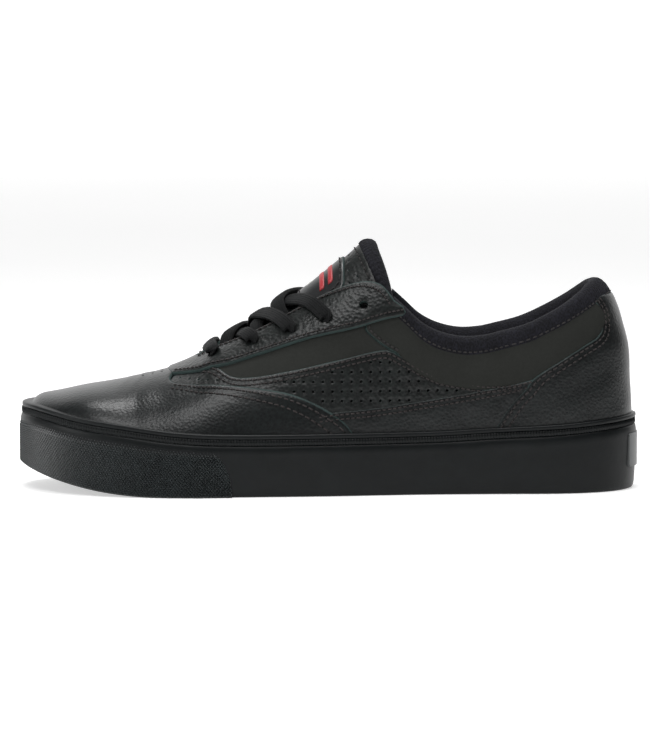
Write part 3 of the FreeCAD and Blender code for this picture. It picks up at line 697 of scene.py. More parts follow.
outsole_rubber = finish("outsole_rubber", (30, 32, 33), (48, 50, 50), 0.6, "VORONOI", 3.0, 0.8, 0.6)
midsole_foam = finish("midsole_foam", (150, 148, 142), (176, 174, 168), 0.9, "VORONOI", 0.9, 0.4)
board_fibre = finish("board_fibre", (120, 104, 84), (150, 134, 112), 0.9, "NOISE", 1.2, 0.5, 0.3)
stiffener = finish("stiffener_board", (90, 84, 76), (116, 110, 100), 0.8, "NOISE", 1.5, 0.4, 0.2)
smooth_leather = finish("label_leather", (17, 18, 19), (28, 29, 30), 0.34, "VORONOI", 0.8, 0.3, 0.1)
label_red = finish("label_red", (138, 24, 32), (166, 38, 44), 0.45, "NOISE", 0.8)
label_white = finish("label_white", (196, 196, 192), (222, 222, 218), 0.5, "NOISE", 0.8)
aglet_plastic = finish("aglet_plastic", (20, 20, 22), (40, 40, 44), 0.25, "NOISE", 4.0, 0.1)

KEPT_NODES = {
    "outsole": outsole_rubber, "midsole": midsole_foam, "lasting_board": board_fibre,
    "heel_tab": bumper_rubber, "toe_puff": stiffener, "heel_stiffener": stiffener,
    "lace_aglets": aglet_plastic,
}
for node, kept_finish in KEPT_NODES.items():
    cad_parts[node].data.materials.clear()
    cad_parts[node].data.materials.append(kept_finish)

# The third finish of each, for hole floors, is painted shade.
CUT_LEATHER, CUT_FINE, CUT_PUNCHED, CUT_NUBUCK, CUT_LABEL = (
    [face, cut_edge, painted_hole_shade] for face in (leather, fine_leather, punched, nubuck, smooth_leather)
)


# ---------------------------------------------------------------- sole wall
def sole_ring(step):
    """Even points along the foxing's outline in plan and its outward normals, from the heel."""
    angle = np.linspace(0, 2 * math.pi, 6001)
    tip = HALF_LENGTH - 0.8
    x = tip * np.cos(angle)
    side = np.where(angle < math.pi, -1, 1)
    line = even_line(np.stack([x, centre_y(x) + side * half_width(x, 0.8)], -1), step)[:-1]
    way = np.roll(line, -1, axis=0) - np.roll(line, 1, axis=0)
    way /= np.linalg.norm(way, axis=1, keepdims=True)
    normal = np.stack([way[:, 1], -way[:, 0]], -1)
    quarter = len(line) // 4
    return line, normal * (1.0 if np.dot(normal[quarter], line[quarter]) > 0 else -1.0)


def turned(vertices, faces, normal):
    """Faces of rows round the sole, turned so that the middle one faces along its normal."""
    middle = faces[len(faces) // 2]
    a, b, c = (vertices[middle[k]] for k in (0, 1, 2))
    outward = np.append(normal[middle[0] % len(normal)], 0)
    return faces[:, ::-1] if np.dot(np.cross(b - a, c - a), outward) < 0 else faces


def sole_band(name, step, profile, material):
    """Closed band round the sole; profile gives offsets and heights row by row at each x."""
    line, normal = sole_ring(step)
    rows = []
    for offset, height in profile(line[:, 0], line[:, 1], np.arange(len(line)) * step):
        rows.append(np.column_stack([line + normal * np.reshape(offset, (-1, 1)), height]))
    vertices = np.vstack(rows)
    faces = grid_faces(len(rows), len(line), closed_columns=True)
    return make_mesh(name, vertices, turned(vertices, faces, normal), [material])


def foxing_profile(x, y, _):
    """Rubber wall, slightly uneven and rounded over at its foot and top."""
    low, high = sole_bottom(x), foxing_top(x)
    wave = 0.22 * ripple(x, y, 0 * x, 31) + 0.12 * ripple(x, y, 0 * x + 9, 13)
    zeros = 0 * x
    yield zeros - 3.3, low + 0.05
    yield zeros - 2.6, low
    yield zeros - 1.6, low + 0.35
    yield zeros - 1.1, low + 1.1
    for share in np.linspace(0.1, 0.9, 12):
        taper = 1.0 * (1 - share) ** 2.5 - 0.35 * share**6
        yield wave * math.sin(math.pi * share) + 0.15 - taper, low + (high - low) * share
    yield zeros - 0.05, high - 0.8
    yield zeros - 0.35, high - 0.25
    yield zeros - 0.9, high
    yield zeros - 3.3, high


def rib_profile(x, _, s):
    """Strip of fine upright ribs; s is the distance along the sole."""
    low, high = foxing_top(x), foxing_top(x) + RIB_HEIGHT
    tooth = 0.55 * np.abs(((s / RIB_PITCH) % 1) * 2 - 1)
    zeros = 0 * x
    yield zeros - 3.3, low
    yield zeros - 0.9, low + 0.02
    yield tooth - 0.75, low + 0.35
    yield tooth - 0.65, (low + high) / 2
    yield tooth - 0.75, high - 0.35
    yield zeros - 0.95, high - 0.02
    yield zeros - 3.3, high


def strip_profile(x, y, _):
    """Round bead over the ribs, lapped once on the lateral side, with a flange under the upper."""
    low = foxing_top(x) + RIB_HEIGHT
    lap = 0.45 * smoothstep(79.4, 80.2, x) * (y < 0)
    for share in np.linspace(0, 1, 9):
        bow = math.sqrt(1 - (2 * share - 1) ** 2)
        yield -0.95 + (0.55 + 0 * x) * bow + lap * (bow > 0), low + STRIP_HEIGHT * share
    near = smoothstep(-118, -140, x)
    yield -3.6 - 2.5 * near, low + STRIP_HEIGHT + 0.05
    yield -5.5 - 5.0 * near, low + STRIP_HEIGHT - 1.0 - 1.5 * near


for name, step, profile, node in (
    ("foxing_wall", 1.5, foxing_profile, "foxing"),
    ("ribbed_strip", RIB_PITCH / 4, rib_profile, "rib_strip"),
    ("top_bead", 1.2, strip_profile, "top_strip"),
):
    placed(sole_band(name, step, profile, foxing_rubber), "root", "foxing_rubber", node)

BUMPER_REAR = [(-5, -43.5), (11.5, -46.5), (18.5, -50.5), (23.5, -57), (25.4, -63.5), (60, -63.5)]
DIAMOND_RISE, DIAMOND_WIDTH = 0.75, 1.55


def bumper_rows():
    """Toe bumper over the foxing: staggered diamonds on its wall and on its top chamfer."""
    line, normal = sole_ring(DIAMOND_WIDTH / 2)
    near = np.flatnonzero(line[:, 0] < -40)
    line, normal = line[near], normal[near]
    x = line[:, 0]
    low, high = sole_bottom(x), foxing_top(x)
    column = np.arange(len(x))
    wall_rows = 20
    rows = [(0 * x - 0.2, low - 0.02), (0 * x + 0.35, low + 0.15)]
    chamfer = np.minimum(6.0, (high - low) * 0.3)
    for r in range(wall_rows + 1):
        raised = DIAMOND_RISE * ((column + r) % 2)
        rows.append((0.25 + raised, low + 0.8 + (high - chamfer - low - 0.8) * r / wall_rows))
    for r in range(1, 6):
        raised = DIAMOND_RISE * ((column + r + wall_rows) % 2) if r < 5 else 0.1 + 0 * x
        rows.append((0.25 + raised - 0.24 * r, high - chamfer + chamfer * r / 5))
    rows.append((0 * x - 0.9, high + 0.35))
    rows.append((0 * x - 3.0, high + 0.4))
    return x, line, normal, rows


def toe_bumper_mesh():
    x, line, normal, rows = bumper_rows()
    vertices = []
    for offset, height in rows:
        rear = smooth_through(BUMPER_REAR, height)
        beyond = x > rear
        points = line + normal * (offset - 0.75 * beyond)[:, None]
        for side in (False, True):
            rows_on_side = (line[:, 1] > 0) == side
            kept = np.flatnonzero(rows_on_side & ~beyond)
            edge = kept[np.argmax(x[kept])]
            spill = rows_on_side & beyond
            points[spill] = points[edge] + normal[edge] * -0.8
            height = np.where(spill, height[edge], height)
        vertices.append(np.column_stack([points, height]))
    stacked = np.vstack(vertices)
    quads = grid_faces(len(rows), len(x))
    odd = ((quads[:, 0] % len(x)) + quads[:, 0] // len(x)) % 2 == 1
    faces = np.vstack([
        quads[odd][:, [0, 1, 3]], quads[odd][:, [1, 2, 3]],
        quads[~odd][:, [0, 1, 2]], quads[~odd][:, [0, 2, 3]],
    ])
    a, b, c = (stacked[faces[:, k]] for k in (0, 1, 2))
    faces = faces[np.linalg.norm(np.cross(b - a, c - a), axis=1) > 1e-3]
    return make_mesh("toe_bumper_diamonds", stacked, turned(stacked, faces, normal),
                     [bumper_rubber], smooth=False)


placed(toe_bumper_mesh(), "root", "foxing_rubber", "toe_bumper")

# ---------------------------------------------------------------- leather panels
PANEL_EDGE = [
    (-76, 51), (-73, 54.6), (-66, 57.6), (-58, 60.5), (-52.4, 59.5), (-45.5, 55.8), (-38, 55.3),
    (-22.9, 57.6), (-0.2, 62.5), (18.8, 67), (26.3, 68.2), (30.1, 67.4), (37.7, 63.3), (52.3, 56),
    (66.9, 53), (74.8, 52), (85, 52.3), (97, 54.5),
]
WEDGE_EDGE = [
    (-5, 38.5), (2.1, 39.4), (22.6, 41.3), (42.8, 44.2), (63.3, 47.5), (85, 51.4), (95.9, 54),
    (101, 55.5),
]
VAMP_EDGE = [
    (-71.5, 56.9), (-73.8, 54.5), (-74.6, 52.4), (-72, 51), (-63, 51), (-53, 51.5), (-41, 51),
    (-21.5, 48.7), (-11.5, 45.8), (-0.2, 40.2), (7.4, 35), (11.2, 30.4), (14, 26), (15.5, 20),
]
COUNTER_FRONT = [
    (72, 19), (76, 26), (79.2, 32), (83.2, 38.5), (87.9, 44.6), (92.3, 49), (97.4, 55),
    (109.7, 63), (120.3, 69.4), (126.5, 73), (128.9, 76.5), (129.3, 80), (128.5, 85.5),
    (125.6, 89.8),
]
STAY_LOW = [
    (-73.6, 54.5), (-64.5, 55.9), (-49.3, 60), (-30.4, 66), (-7.7, 73.5), (15, 78.8), (35.4, 84),
]
SEAM = [(34, 64), (32.3, 66.7), (29.7, 68.2), (24.8, 71.3), (19.7, 75.5), (17.5, 78.5),
        (19, 82), (24, 87), (30, 92)]
STAY_UNDER = [(30, 92), (15, 86.5), (-7.7, 79.5), (-30.4, 71.5), (-49.3, 65), (-64, 58.5),
              (-64, 54), (-45, 50), (-22.9, 53), (0, 58), (19, 62.5)]
COLLAR_REAR = [(132.5, 90), (133.5, 82), (131, 75), (116, 65), (103, 57), (97, 51)]
COLLAR_FOOT = [(85, 49), (66.9, 49), (52.3, 51.5), (42, 56), (37, 61)]
EYELETS = [(-53.5, 64.4), (-34.5, 71.0), (-17.0, 76.9), (-0.4, 82.8), (16.9, 88.7)]
HIDDEN_FOOT = 20.0
LIFT = {"quarter": 0.0, "collar": 0.1, "panel": 0.6, "wedge": 1.0, "vamp": 1.4, "counter": 1.4,
        "stay": 1.9}
SEAM_INSETS = (1.5, 3.6)
VISIBLE_SEAMS, DARK_SEAMS = [], []


def rows_inside(line, outline, insets=SEAM_INSETS):
    """Lines at distances from an edge, on the side that lies in the outline."""
    found = []
    for inset in insets:
        both = [even_line(beside(line, sign * inset), 0.8) for sign in (1, -1)]
        count = [inside(row, outline).sum() for row in both]
        row = both[int(np.argmax(count))]
        clear = inside(row, outline) & (distances(row, line) > inset * 0.93)
        found.append(row[clear])
    return found


def leather_relief(amount):
    """Slow unevenness that fades out at the edge."""
    return lambda s, t, gap: amount * ripple(s, t, t, 17) * smoothstep(0, 4, gap)


def grooves(s, t, seams):
    """Depth of the grooves that the stitch rows pull into the leather."""
    spots = np.stack([s, t], -1)
    return sum(0.22 * dip(distances(spots, row), 0, 0.55) for row in seams)


def seam_relief(seams, amount=0.12):
    """Slow unevenness and a groove along each stitch row."""
    return lambda s, t, gap: (
        amount * ripple(s, t, t, 19) * smoothstep(0, 5, gap) - grooves(s, t, seams)
    )


def perforations(outline, pitch, clear_of, phase=(0.0, 0.0)):
    """Square grid of hole centres in an outline, at least so far from each given line."""
    low, high = outline.min(0), outline.max(0)
    gx, gy = np.meshgrid(np.arange(low[0] + phase[0], high[0], pitch),
                         np.arange(low[1] + phase[1], high[1], pitch))
    spots = np.stack([gx.ravel(), gy.ravel()], -1)
    keep = inside(spots, outline)
    for line, gap in clear_of:
        keep &= distances(spots, line) > gap
    return spots[keep]


def side_panel(side, word):
    """Perforated panel low on the side, which the vamp and the rear wedge overlap."""
    chart = wall_chart(side)
    panel_edge, wedge_edge, vamp_edge = (
        smooth_line(points, 1.0) for points in (PANEL_EDGE, WEDGE_EDGE, VAMP_EDGE[3:])
    )
    panel = np.vstack([panel_edge, [(97, 48), (88, 34), (80, HIDDEN_FOOT), (-76, HIDDEN_FOOT)]])
    rows = rows_inside(panel_edge, panel)
    covered = np.vstack([vamp_edge, [(15.5, HIDDEN_FOOT), (-72, HIDDEN_FOOT)]])
    holes = perforations(panel, 4.5, [(panel_edge[30:], 4.3), (vamp_edge, 1.1), (wedge_edge, 1.1)],
                         (1.5, 2.1))
    holes = holes[~inside(holes, covered) & (holes[:, 0] > -73) & (holes[:, 0] < 84)]
    below_wedge = np.interp(holes[:, 0], wedge_edge[:, 0], wedge_edge[:, 1])
    holes = holes[(holes[:, 0] < -5) | (holes[:, 1] > below_wedge)]
    piece = cut_panel(f"side_panel_skin_{word}", chart, panel, LIFT["panel"], -0.7, CUT_PUNCHED,
                      holes, 0.7, seam_relief(rows, 0.15), 1.8)
    placed(piece, "root", "perforated_leather", f"side_panel_{word}")
    VISIBLE_SEAMS.extend((chart, row[row[:, 0] > -60], LIFT["panel"]) for row in rows)


def quarter(side, word):
    """Nubuck between the lace stay and the side panel."""
    outline = np.vstack([smooth_line(SEAM, 1.0), STAY_UNDER])
    outline[:, 1] = np.maximum(outline[:, 1], 48)
    piece = cut_panel(f"quarter_skin_{word}", wall_chart(side), outline, LIFT["quarter"], -1.2,
                      CUT_NUBUCK, relief=leather_relief(0.12), spacing=2.4)
    placed(piece, "root", "nubuck", f"quarter_{word}")


def collar_relief(s, t, _):
    """Padding that swells behind the ankle, with a soft channel under it."""
    drop = topline(s) - t
    puff = 1.5 * dip(drop, 16, 8.5) - 0.25 * dip(drop, 26.5, 1.6)
    return puff * smoothstep(30, 42, s) + 0.12 * ripple(s, t, t, 17)


def collar_panel(side, word):
    """Nubuck over the collar's padding, from the seam back to the heel counter."""
    chart, seam = wall_chart(side), smooth_line(SEAM, 1.0)
    top = np.array([(x, float(topline(x)) - 2.0) for x in np.linspace(31.5, 130, 50)])
    collar = np.vstack([seam, top, COLLAR_REAR, COLLAR_FOOT])
    piece = cut_panel(f"collar_skin_{word}", chart, collar, LIFT["collar"], -1.2, CUT_NUBUCK,
                      relief=collar_relief, spacing=2.2)
    placed(piece, "root", "nubuck", f"collar_panel_{word}")
    rows = rows_inside(seam[3:-6], collar, SEAM_INSETS[:1])
    DARK_SEAMS.extend((chart, row, LIFT["collar"]) for row in rows)


def rear_wedge(side, word):
    """Long wedge of smooth leather between the vamp's tail and the heel counter."""
    chart, wedge_edge = wall_chart(side), smooth_line(WEDGE_EDGE, 1.0)
    wedge = np.vstack([wedge_edge, [(97, 46), (88, 32), (82, HIDDEN_FOOT), (-5, HIDDEN_FOOT)]])
    rows = rows_inside(wedge_edge, wedge)
    piece = cut_panel(f"rear_wedge_skin_{word}", chart, wedge, LIFT["wedge"], -0.2, CUT_FINE,
                      relief=seam_relief(rows), spacing=2.2)
    placed(piece, "root", "grained_leather", f"rear_wedge_{word}")
    VISIBLE_SEAMS.extend((chart, row[row[:, 0] < 92], LIFT["wedge"]) for row in rows)


for side, word in SIDES:
    side_panel(side, word)
    quarter(side, word)
    collar_panel(side, word)
    rear_wedge(side, word)


# ---------------------------------------------------------------- vamp over the toe
def toe_lower_line(side):
    """Foot of the vamp, hidden behind the strips, from the tail to the tip."""
    x = toe_x(np.linspace(1.37, 0.11, 70) * TOE_RUN * 2 / math.pi)
    return on_toe_chart(np.stack([x, strip_top(x) - 9], -1), side)


def vamp_outline():
    """Whole toe piece, from its foot to the edges that sweep down beside the lace stay."""
    edges = {side: smooth_line(on_toe_chart(VAMP_EDGE[::-1], side), 1.0) for side, _ in SIDES}
    centre = on_toe_chart([(-70.8, 60)], MEDIAL) * [1, 0]
    return np.vstack([
        toe_lower_line(LATERAL), toe_lower_line(MEDIAL)[::-1], edges[MEDIAL], centre,
        edges[LATERAL][::-1],
    ])


def vamp_relief(seams):
    """Faint flex creases behind the toe, and the grooves of the seams."""

    def relief(s, t, _):
        place = toe_chart(s, t)
        x, across = place[..., 0], place[..., 1] - centre_y(place[..., 0])
        height = 0.22 * ripple(x, across, 0 * x, 24)
        bend = np.abs(across) * 0.22
        for at, depth in ((-97, 0.08), (-90, 0.16), (-83.5, 0.2)):
            fold = dip(x + bend + 1.2 * np.sin(across / 7 + at), at, 1.9)
            height = height - depth * fold * smoothstep(46, 20, np.abs(across))
        return height - grooves(s, t, seams)

    return relief


vamp_loop = vamp_outline()
vamp_rows = []
for side, _ in SIDES:
    vamp_rows += rows_inside(smooth_line(on_toe_chart(VAMP_EDGE[3:][::-1], side), 1.0), vamp_loop)
vamp_vents = [
    (toe_station(x), TOE_TURN * math.asin(across / half_width(x, INSET)))
    for x in (-88.0, -83.5, -79.0) for across in (-8, -4, 0, 4, 8)
]
placed(
    cut_panel("vamp_skin", toe_chart, vamp_loop, LIFT["vamp"], 0.1, CUT_FINE, vamp_vents, 0.55,
              vamp_relief(vamp_rows), 1.9),
    "root", "grained_leather", "vamp",
)
VISIBLE_SEAMS += [(toe_chart, row, LIFT["vamp"]) for row in vamp_rows]

# ---------------------------------------------------------------- heel counter
counter_edges = {s: smooth_line(on_heel_chart(COUNTER_FRONT, s), 1.0) for s, _ in SIDES}
top_s = np.linspace(counter_edges[LATERAL][-1, 0], counter_edges[MEDIAL][-1, 0], 40)[1:-1]
top_z = topline(heel_chart(top_s, np.full_like(top_s, 90))[:, 0]) - 6.6
counter_loop = np.vstack([
    counter_edges[LATERAL], np.stack([top_s, top_z], -1), counter_edges[MEDIAL][::-1],
])
counter_rows = [row for side, _ in SIDES for row in rows_inside(counter_edges[side], counter_loop)]
placed(
    cut_panel("heel_counter_skin", heel_chart, counter_loop, LIFT["counter"], 0.0, CUT_FINE,
              relief=seam_relief(counter_rows, 0.15), spacing=2.2),
    "root", "grained_leather", "heel_counter",
)
VISIBLE_SEAMS += [(heel_chart, row[row[:, 1] > 28], LIFT["counter"]) for row in counter_rows]


# ---------------------------------------------------------------- lace stay
throat_x = np.linspace(-61.9, 31, 90)
stay_lower = {s: smooth_line(on_stay_chart(STAY_LOW, s), 1.0) for s, _ in SIDES}
stay_throat = {s: across_stay_chart(throat_x, s * throat(throat_x)) for s, _ in SIDES}
stay_tip = {s: on_stay_chart([(36.6, 85.6), (35.4, 88.2)], s) for s, _ in SIDES}
nose = [(-75.3, 9.0), (-75.9, 4.5)]
stay_outline = np.vstack([
    stay_tip[LATERAL][::-1], stay_lower[LATERAL][::-1], [(a, -b) for a, b in nose], [(-76.1, 0)],
    nose[::-1], stay_lower[MEDIAL], stay_tip[MEDIAL], stay_throat[MEDIAL][::-1], [(-62.2, 0)],
    stay_throat[LATERAL],
])
stay_rows = []
for side, _ in SIDES:
    for edge in (stay_lower[side], stay_throat[side][2:]):
        stay_rows += rows_inside(edge, stay_outline, (1.9,))
eyelet_spots = np.vstack([on_stay_chart(EYELETS, side) for side, _ in SIDES])
placed(
    cut_panel("lace_stay", stay_chart, stay_outline, LIFT["stay"], -1.4, CUT_LEATHER,
              eyelet_spots, 1.95, seam_relief(stay_rows, 0.1), 1.6, 0.9, hole_floor=False),
    "root", "grained_leather", "eyestay",
)
VISIBLE_SEAMS += [(stay_chart, row, LIFT["stay"]) for row in stay_rows]

# ---------------------------------------------------------------- round the ankle
HEEL_REACH = 61.9


def around_chart(s, t):
    """Round the whole upper: s is 0 at the heel, positive along the lateral side; t is z."""
    reach = np.abs(s)
    turn = np.minimum(reach, HEEL_REACH) / HEEL_TURN
    x = HEEL_CENTRE + (heel_back(t) - HEEL_CENTRE) * np.cos(turn)
    x = x - np.maximum(reach - HEEL_REACH, 0)
    y = np.where(s < 0, 1, -1) * upper_half_width(x, t)
    return np.stack([x, centre_y(x) + y, t], -1)


def free_edge(x):
    """Height of the upper's free edge: the throat in front of the ankle, then the topline."""
    in_front = upper_height(x, throat(x))
    return np.where(x < 31, in_front + (91.5 - in_front) * smoothstep(24, 31, x), topline(x))


def edge_height(s, edge):
    """Height of an edge, given by x, at each place round the upper."""
    z = np.full_like(s, 80.0)
    for _ in range(12):
        z = edge(around_chart(s, z)[..., 0])
    return z


def shell_loop(name, s, profile, material):
    """Closed skin round the ankle: profile gives (heights, depths) row by row for each s."""
    return closed_skin(name, [lifted(around_chart, s, z, -depth) for z, depth in profile], material)


lining_s = np.linspace(-203, 203, 300)
lining_top = edge_height(lining_s, free_edge) - 0.6
lining_x = around_chart(lining_s, lining_top)[:, 0]
lining_foot = board_top(lining_x) + 2.5
levels = np.linspace(0, 1, 22)
soft = 0.18 * ripple(lining_s, lining_s * 0, lining_s * 0.3, 21)
lining_rise = lining_top - lining_foot
lining_profile = [
    (lining_foot + lining_rise * v, 3.3 + soft * math.sin(math.pi * v)) for v in levels
] + [(lining_foot + lining_rise * v, 1.8 + 0 * lining_s) for v in levels[::-1]]
lining = placed(
    shell_loop("upper_lining", lining_s, lining_profile, textile), "root", "lining_textile",
    "quarter_lining_lateral", "quarter_lining_medial", "heel_lining",
    "quarter_foam_lateral", "quarter_foam_medial",
)

COLLAR_SHAPE = [
    (30, 3.5), (27, 4.2), (24, 5.4), (20, 7.4), (16, 9.0), (12, 9.7), (8, 9.6), (4.5, 8.8),
    (1.6, 7.4), (-0.2, 5.6), (-0.9, 4.0), (-0.3, 2.6), (2, 2.0), (8, 1.9), (16, 2.2), (24, 2.8),
]
collar_s = np.linspace(-112, 112, 340)
collar_top = edge_height(collar_s, topline)
swell = smoothstep(113, 84, np.abs(collar_s))
pillow = 1 + 0.03 * ripple(collar_s, 0 * collar_s, 0 * collar_s, 16)
collar_profile = [
    (collar_top - drop, 2.4 + (depth - 2.4) * (0.35 + 0.65 * swell) * pillow)
    for drop, depth in COLLAR_SHAPE
]
cushion = placed(
    shell_loop("collar_cushion", collar_s, collar_profile, textile), "root", "lining_textile",
    "collar_pad",
)

BINDING_SHAPE = [
    (6.9, 0.1), (6.9, -0.5), (6.3, -0.95), (4.6, -1.15), (2.4, -1.2), (0.6, -1.0), (-0.8, -0.3),
    (-1.7, 0.9), (-2.2, 2.6), (-2.1, 4.6), (-1.2, 6.6), (0.6, 8.4), (3.2, 9.8), (6.4, 10.5),
    (7.6, 10.4), (6.4, 9.4), (2.6, 8.0), (0.4, 5.6), (0.2, 2.0), (2.5, 0.3),
]
binding_s = np.linspace(-113.5, 113.5, 620)
binding_top = edge_height(binding_s, topline)
binding_swell = smoothstep(114, 84, np.abs(binding_s))
rib_wave = 0.1 * np.cos(binding_s * 2 * math.pi / 1.5)
binding_profile = []
for drop, depth in BINDING_SHAPE:
    inward = depth if depth < 1 else 1 + (depth - 1) * (0.4 + 0.6 * binding_swell)
    proud = np.where(np.abs(drop) < 6.8, rib_wave, 0) * (1 if depth < 5 else -1)
    sewn = 0.35 * dip(drop, 5.7, 0.8) * (depth < 0)
    binding_profile.append((binding_top - drop, inward - proud + sewn))
placed(
    shell_loop("collar_binding_knit", binding_s, binding_profile, knit), "root", "collar_knit",
    "collar_binding",
)
hem_s = np.linspace(-112, 112, 260)
hem = np.stack([hem_s, edge_height(hem_s, topline) - 5.6], -1)
DARK_SEAMS.append((around_chart, hem, 0.75))


# ---------------------------------------------------------------- inside of the toe and the insole
def toe_lining_mesh():
    """Thin lining under the vamp and the toe puff, from board to board."""
    s = np.linspace(14, float(on_toe_chart([(-61, 50)], MEDIAL)[0, 0]), 70)
    x = toe_x(s)
    low = np.clip((board_top(x) + 1 - FLOOR) / (ridge(x) - FLOOR), 0, 0.96)
    reach = TOE_TURN * np.arccos(low ** (SIDE_POWER / 2))
    rows = [
        lifted(toe_chart, s, share * reach, np.full_like(s, -depth))
        for depth, start in ((3.3, -1), (2.5, 1)) for share in np.linspace(start, -start, 61)
    ]
    return closed_skin("toe_lining", rows, textile, capped=False)


placed(toe_lining_mesh(), "root", "lining_textile", "vamp_lining")


def insole_mesh():
    """Footbed: slightly dished, higher round the heel, with a rounded rim."""
    stations = 133.7 * np.cos(np.linspace(0, math.pi, 150))
    shares = np.sin(np.linspace(-math.pi / 2, math.pi / 2, 41))
    x = np.repeat(stations[:, None], len(shares), 1)
    half = half_width(x, 8.4)
    across = half * shares
    edge = np.abs(shares)
    bed = board_top(x) + 3.4 + 1.6 * edge**3 * smoothstep(20, 90, x) + 0.5 * edge**2
    bed = bed - 1.2 * smoothstep(0.93, 1.0, edge) + 0.08 * ripple(x, across, 0 * x, 14)
    top = np.stack([x, centre_y(x) + across, bed], -1)
    base = np.stack([x, centre_y(x) + across, board_top(x) + 0.1], -1)
    rows = np.concatenate([top, base[:, ::-1]], 1)
    return closed_skin("insole_bed", rows.swapaxes(0, 1), textile, capped=False)


insole = placed(insole_mesh(), "root", "lining_textile", "insole")

# ---------------------------------------------------------------- tongue
CROWN_DROP = [(-66, 6.0), (-60, 5.0), (-54, 2.8), (-44, 1.6)]
TONGUE_HALF = [(-66, 24.0), (-30, 27.0), (0, 27.5), (20, 26.0)]
TONGUE_DEPTH, TONGUE_FRONT = 6.8, -64.0


def tongue_chart(s, t):
    """Tongue's face: s is x and t is the distance across."""
    lift = ridge(s) - smooth_through(CROWN_DROP, s) - ridge(s, TONGUE_DEPTH)
    share = np.minimum(np.abs(t) / (throat(np.maximum(s, -60)) + 2), 1)
    z = upper_height(s, t, TONGUE_DEPTH) + lift * (1 - share * share) ** 2
    return np.stack([s, centre_y(s) + t, z], -1)


def tongue_end(across):
    """x of the tongue's free end, which runs back at its corners."""
    return 15.5 + 13.5 * (across / 26) ** 2


end_across = np.linspace(-26, 26, 60)
side_x = np.linspace(TONGUE_FRONT, 27.5, 80)
side_half = smooth_through(TONGUE_HALF, side_x)
tongue_outline = np.vstack([
    np.stack([side_x, -side_half], -1), np.stack([tongue_end(end_across), end_across], -1),
    np.stack([side_x, side_half], -1)[::-1],
])
label_outline = np.array([
    (-14.4, -15.0), (-13.0, -16.6), (6.6, -16.6), (8.0, -15.0),
    (8.0, 15.0), (6.6, 16.6), (-13.0, 16.6), (-14.4, 15.0),
])
tongue_edge = np.stack([tongue_end(end_across) - 2.6, end_across], -1)
vents = perforations(tongue_outline, 4.0, [
    (np.vstack([label_outline, label_outline[:1]]), 1.6), (tongue_edge, 2.0),
], (2.0, 0.0))
vents = vents[~inside(vents, label_outline) & (np.abs(vents[:, 1]) < 22) & (vents[:, 0] > -58)]
tongue_rows = [even_line(tongue_edge, 0.8)[4:-4]]
placed(
    cut_panel("tongue_leather", tongue_chart, tongue_outline, 0.35, -1.3, CUT_PUNCHED, vents, 0.5,
              seam_relief(tongue_rows, 0.25), 1.8),
    "tongue", "perforated_leather", "tongue_face",
)


def tongue_cushion_mesh():
    """Closed foam and lining body under the tongue's leather."""
    shares = np.linspace(0, 1, 70)
    turns = np.linspace(0, 2 * math.pi, 49)[:-1]
    rows = []
    for angle in turns:
        across = 25.6 * signed_power(math.cos(angle), 0.45)
        x = TONGUE_FRONT + 0.6 + (tongue_end(across) - 0.8 - TONGUE_FRONT) * shares
        depth = 4.2 - signed_power(math.sin(angle), 0.5) * 3.2
        taper = 0.45 + 0.55 * smoothstep(TONGUE_FRONT, TONGUE_FRONT + 14, x)
        rows.append(lifted(tongue_chart, x, np.full_like(x, across), -(1.0 + (depth - 1.0) * taper)))
    return closed_skin("tongue_cushion", rows, textile)


tongue_pad = placed(tongue_cushion_mesh(), "tongue", "lining_textile", "tongue_foam",
                    "tongue_lining")


def tongue_binding_mesh():
    """Knit edging folded over the tongue's free end."""
    across = np.linspace(-26.4, 26.4, 240)
    ribs_here = 0.1 * np.cos(across * 2 * math.pi / 1.3)
    shape = [(-0.6, -0.2), (-0.5, -0.8), (0.6, -1.0), (1.8, -0.6), (3.0, 0.4), (4.0, 2.0),
             (4.4, 3.9), (4.0, 5.9), (2.8, 7.4), (0.6, 8.3), (-2.0, 8.4), (-3.2, 8.0),
             (-2.6, 7.2), (0.6, 6.4), (1.4, 3.6), (0.8, 0.8)]
    rows = [
        lifted(tongue_chart, tongue_end(across) + along, across, -(depth - ribs_here))
        for along, depth in shape
    ]
    return closed_skin("tongue_edging", rows, knit)


placed(tongue_binding_mesh(), "tongue", "collar_knit", "tongue_binding")
label_rows = [even_line(np.vstack([label_outline, label_outline[:1]]) * 0.86 + [-0.45, 0], 0.8)]
placed(
    cut_panel("tongue_patch", tongue_chart, label_outline, 1.45, 0.2,
              CUT_LABEL, relief=leather_relief(0.15), spacing=1.8),
    "tongue", "label_leather", "tongue_label",
)
for number, (low, high, half, paint) in enumerate((
    (-3.4, -1.2, 11.5, label_red), (0.6, 2.8, 11.5, label_red), (-9.6, -6.2, 1.7, label_white),
)):
    patch = np.array([(low, -half), (high, -half), (high, half), (low, half)])
    mark = cut_panel(f"patch_mark_{number}", tongue_chart, patch, 1.75, 1.2,
                     [paint, paint, paint], spacing=1.4, roll=0.3)
    placed(mark, "tongue", "label_leather")

# ---------------------------------------------------------------- sewing
TONGUE_SEAMS = [(tongue_chart, row, 0.35) for row in tongue_rows]
TONGUE_SEAMS += [(tongue_chart, row, 1.45) for row in label_rows]
for name, rows, sewing, body in (
    ("seam_thread", VISIBLE_SEAMS, thread, "root"),
    ("dark_seam_thread", DARK_SEAMS, dark_thread, "root"),
    ("tongue_thread", TONGUE_SEAMS, dark_thread, "tongue"),
):
    rows = [row for row in rows if len(row[1]) > 6]
    placed(stitches(name, rows, sewing), body, "grained_leather")

# ---------------------------------------------------------------- lace
LACE_HALF, LACE_THICK = 3.6, 2.5
CROSSINGS = [-43.0, -30.5, -19.5]


def raised(chart, s, t, lift):
    """One raised point of a chart, and the normal there."""
    points, normals = with_normals(chart, np.array([float(s)]), np.array([float(t)]))
    return points[0] + normals[0] * lift, normals[0]


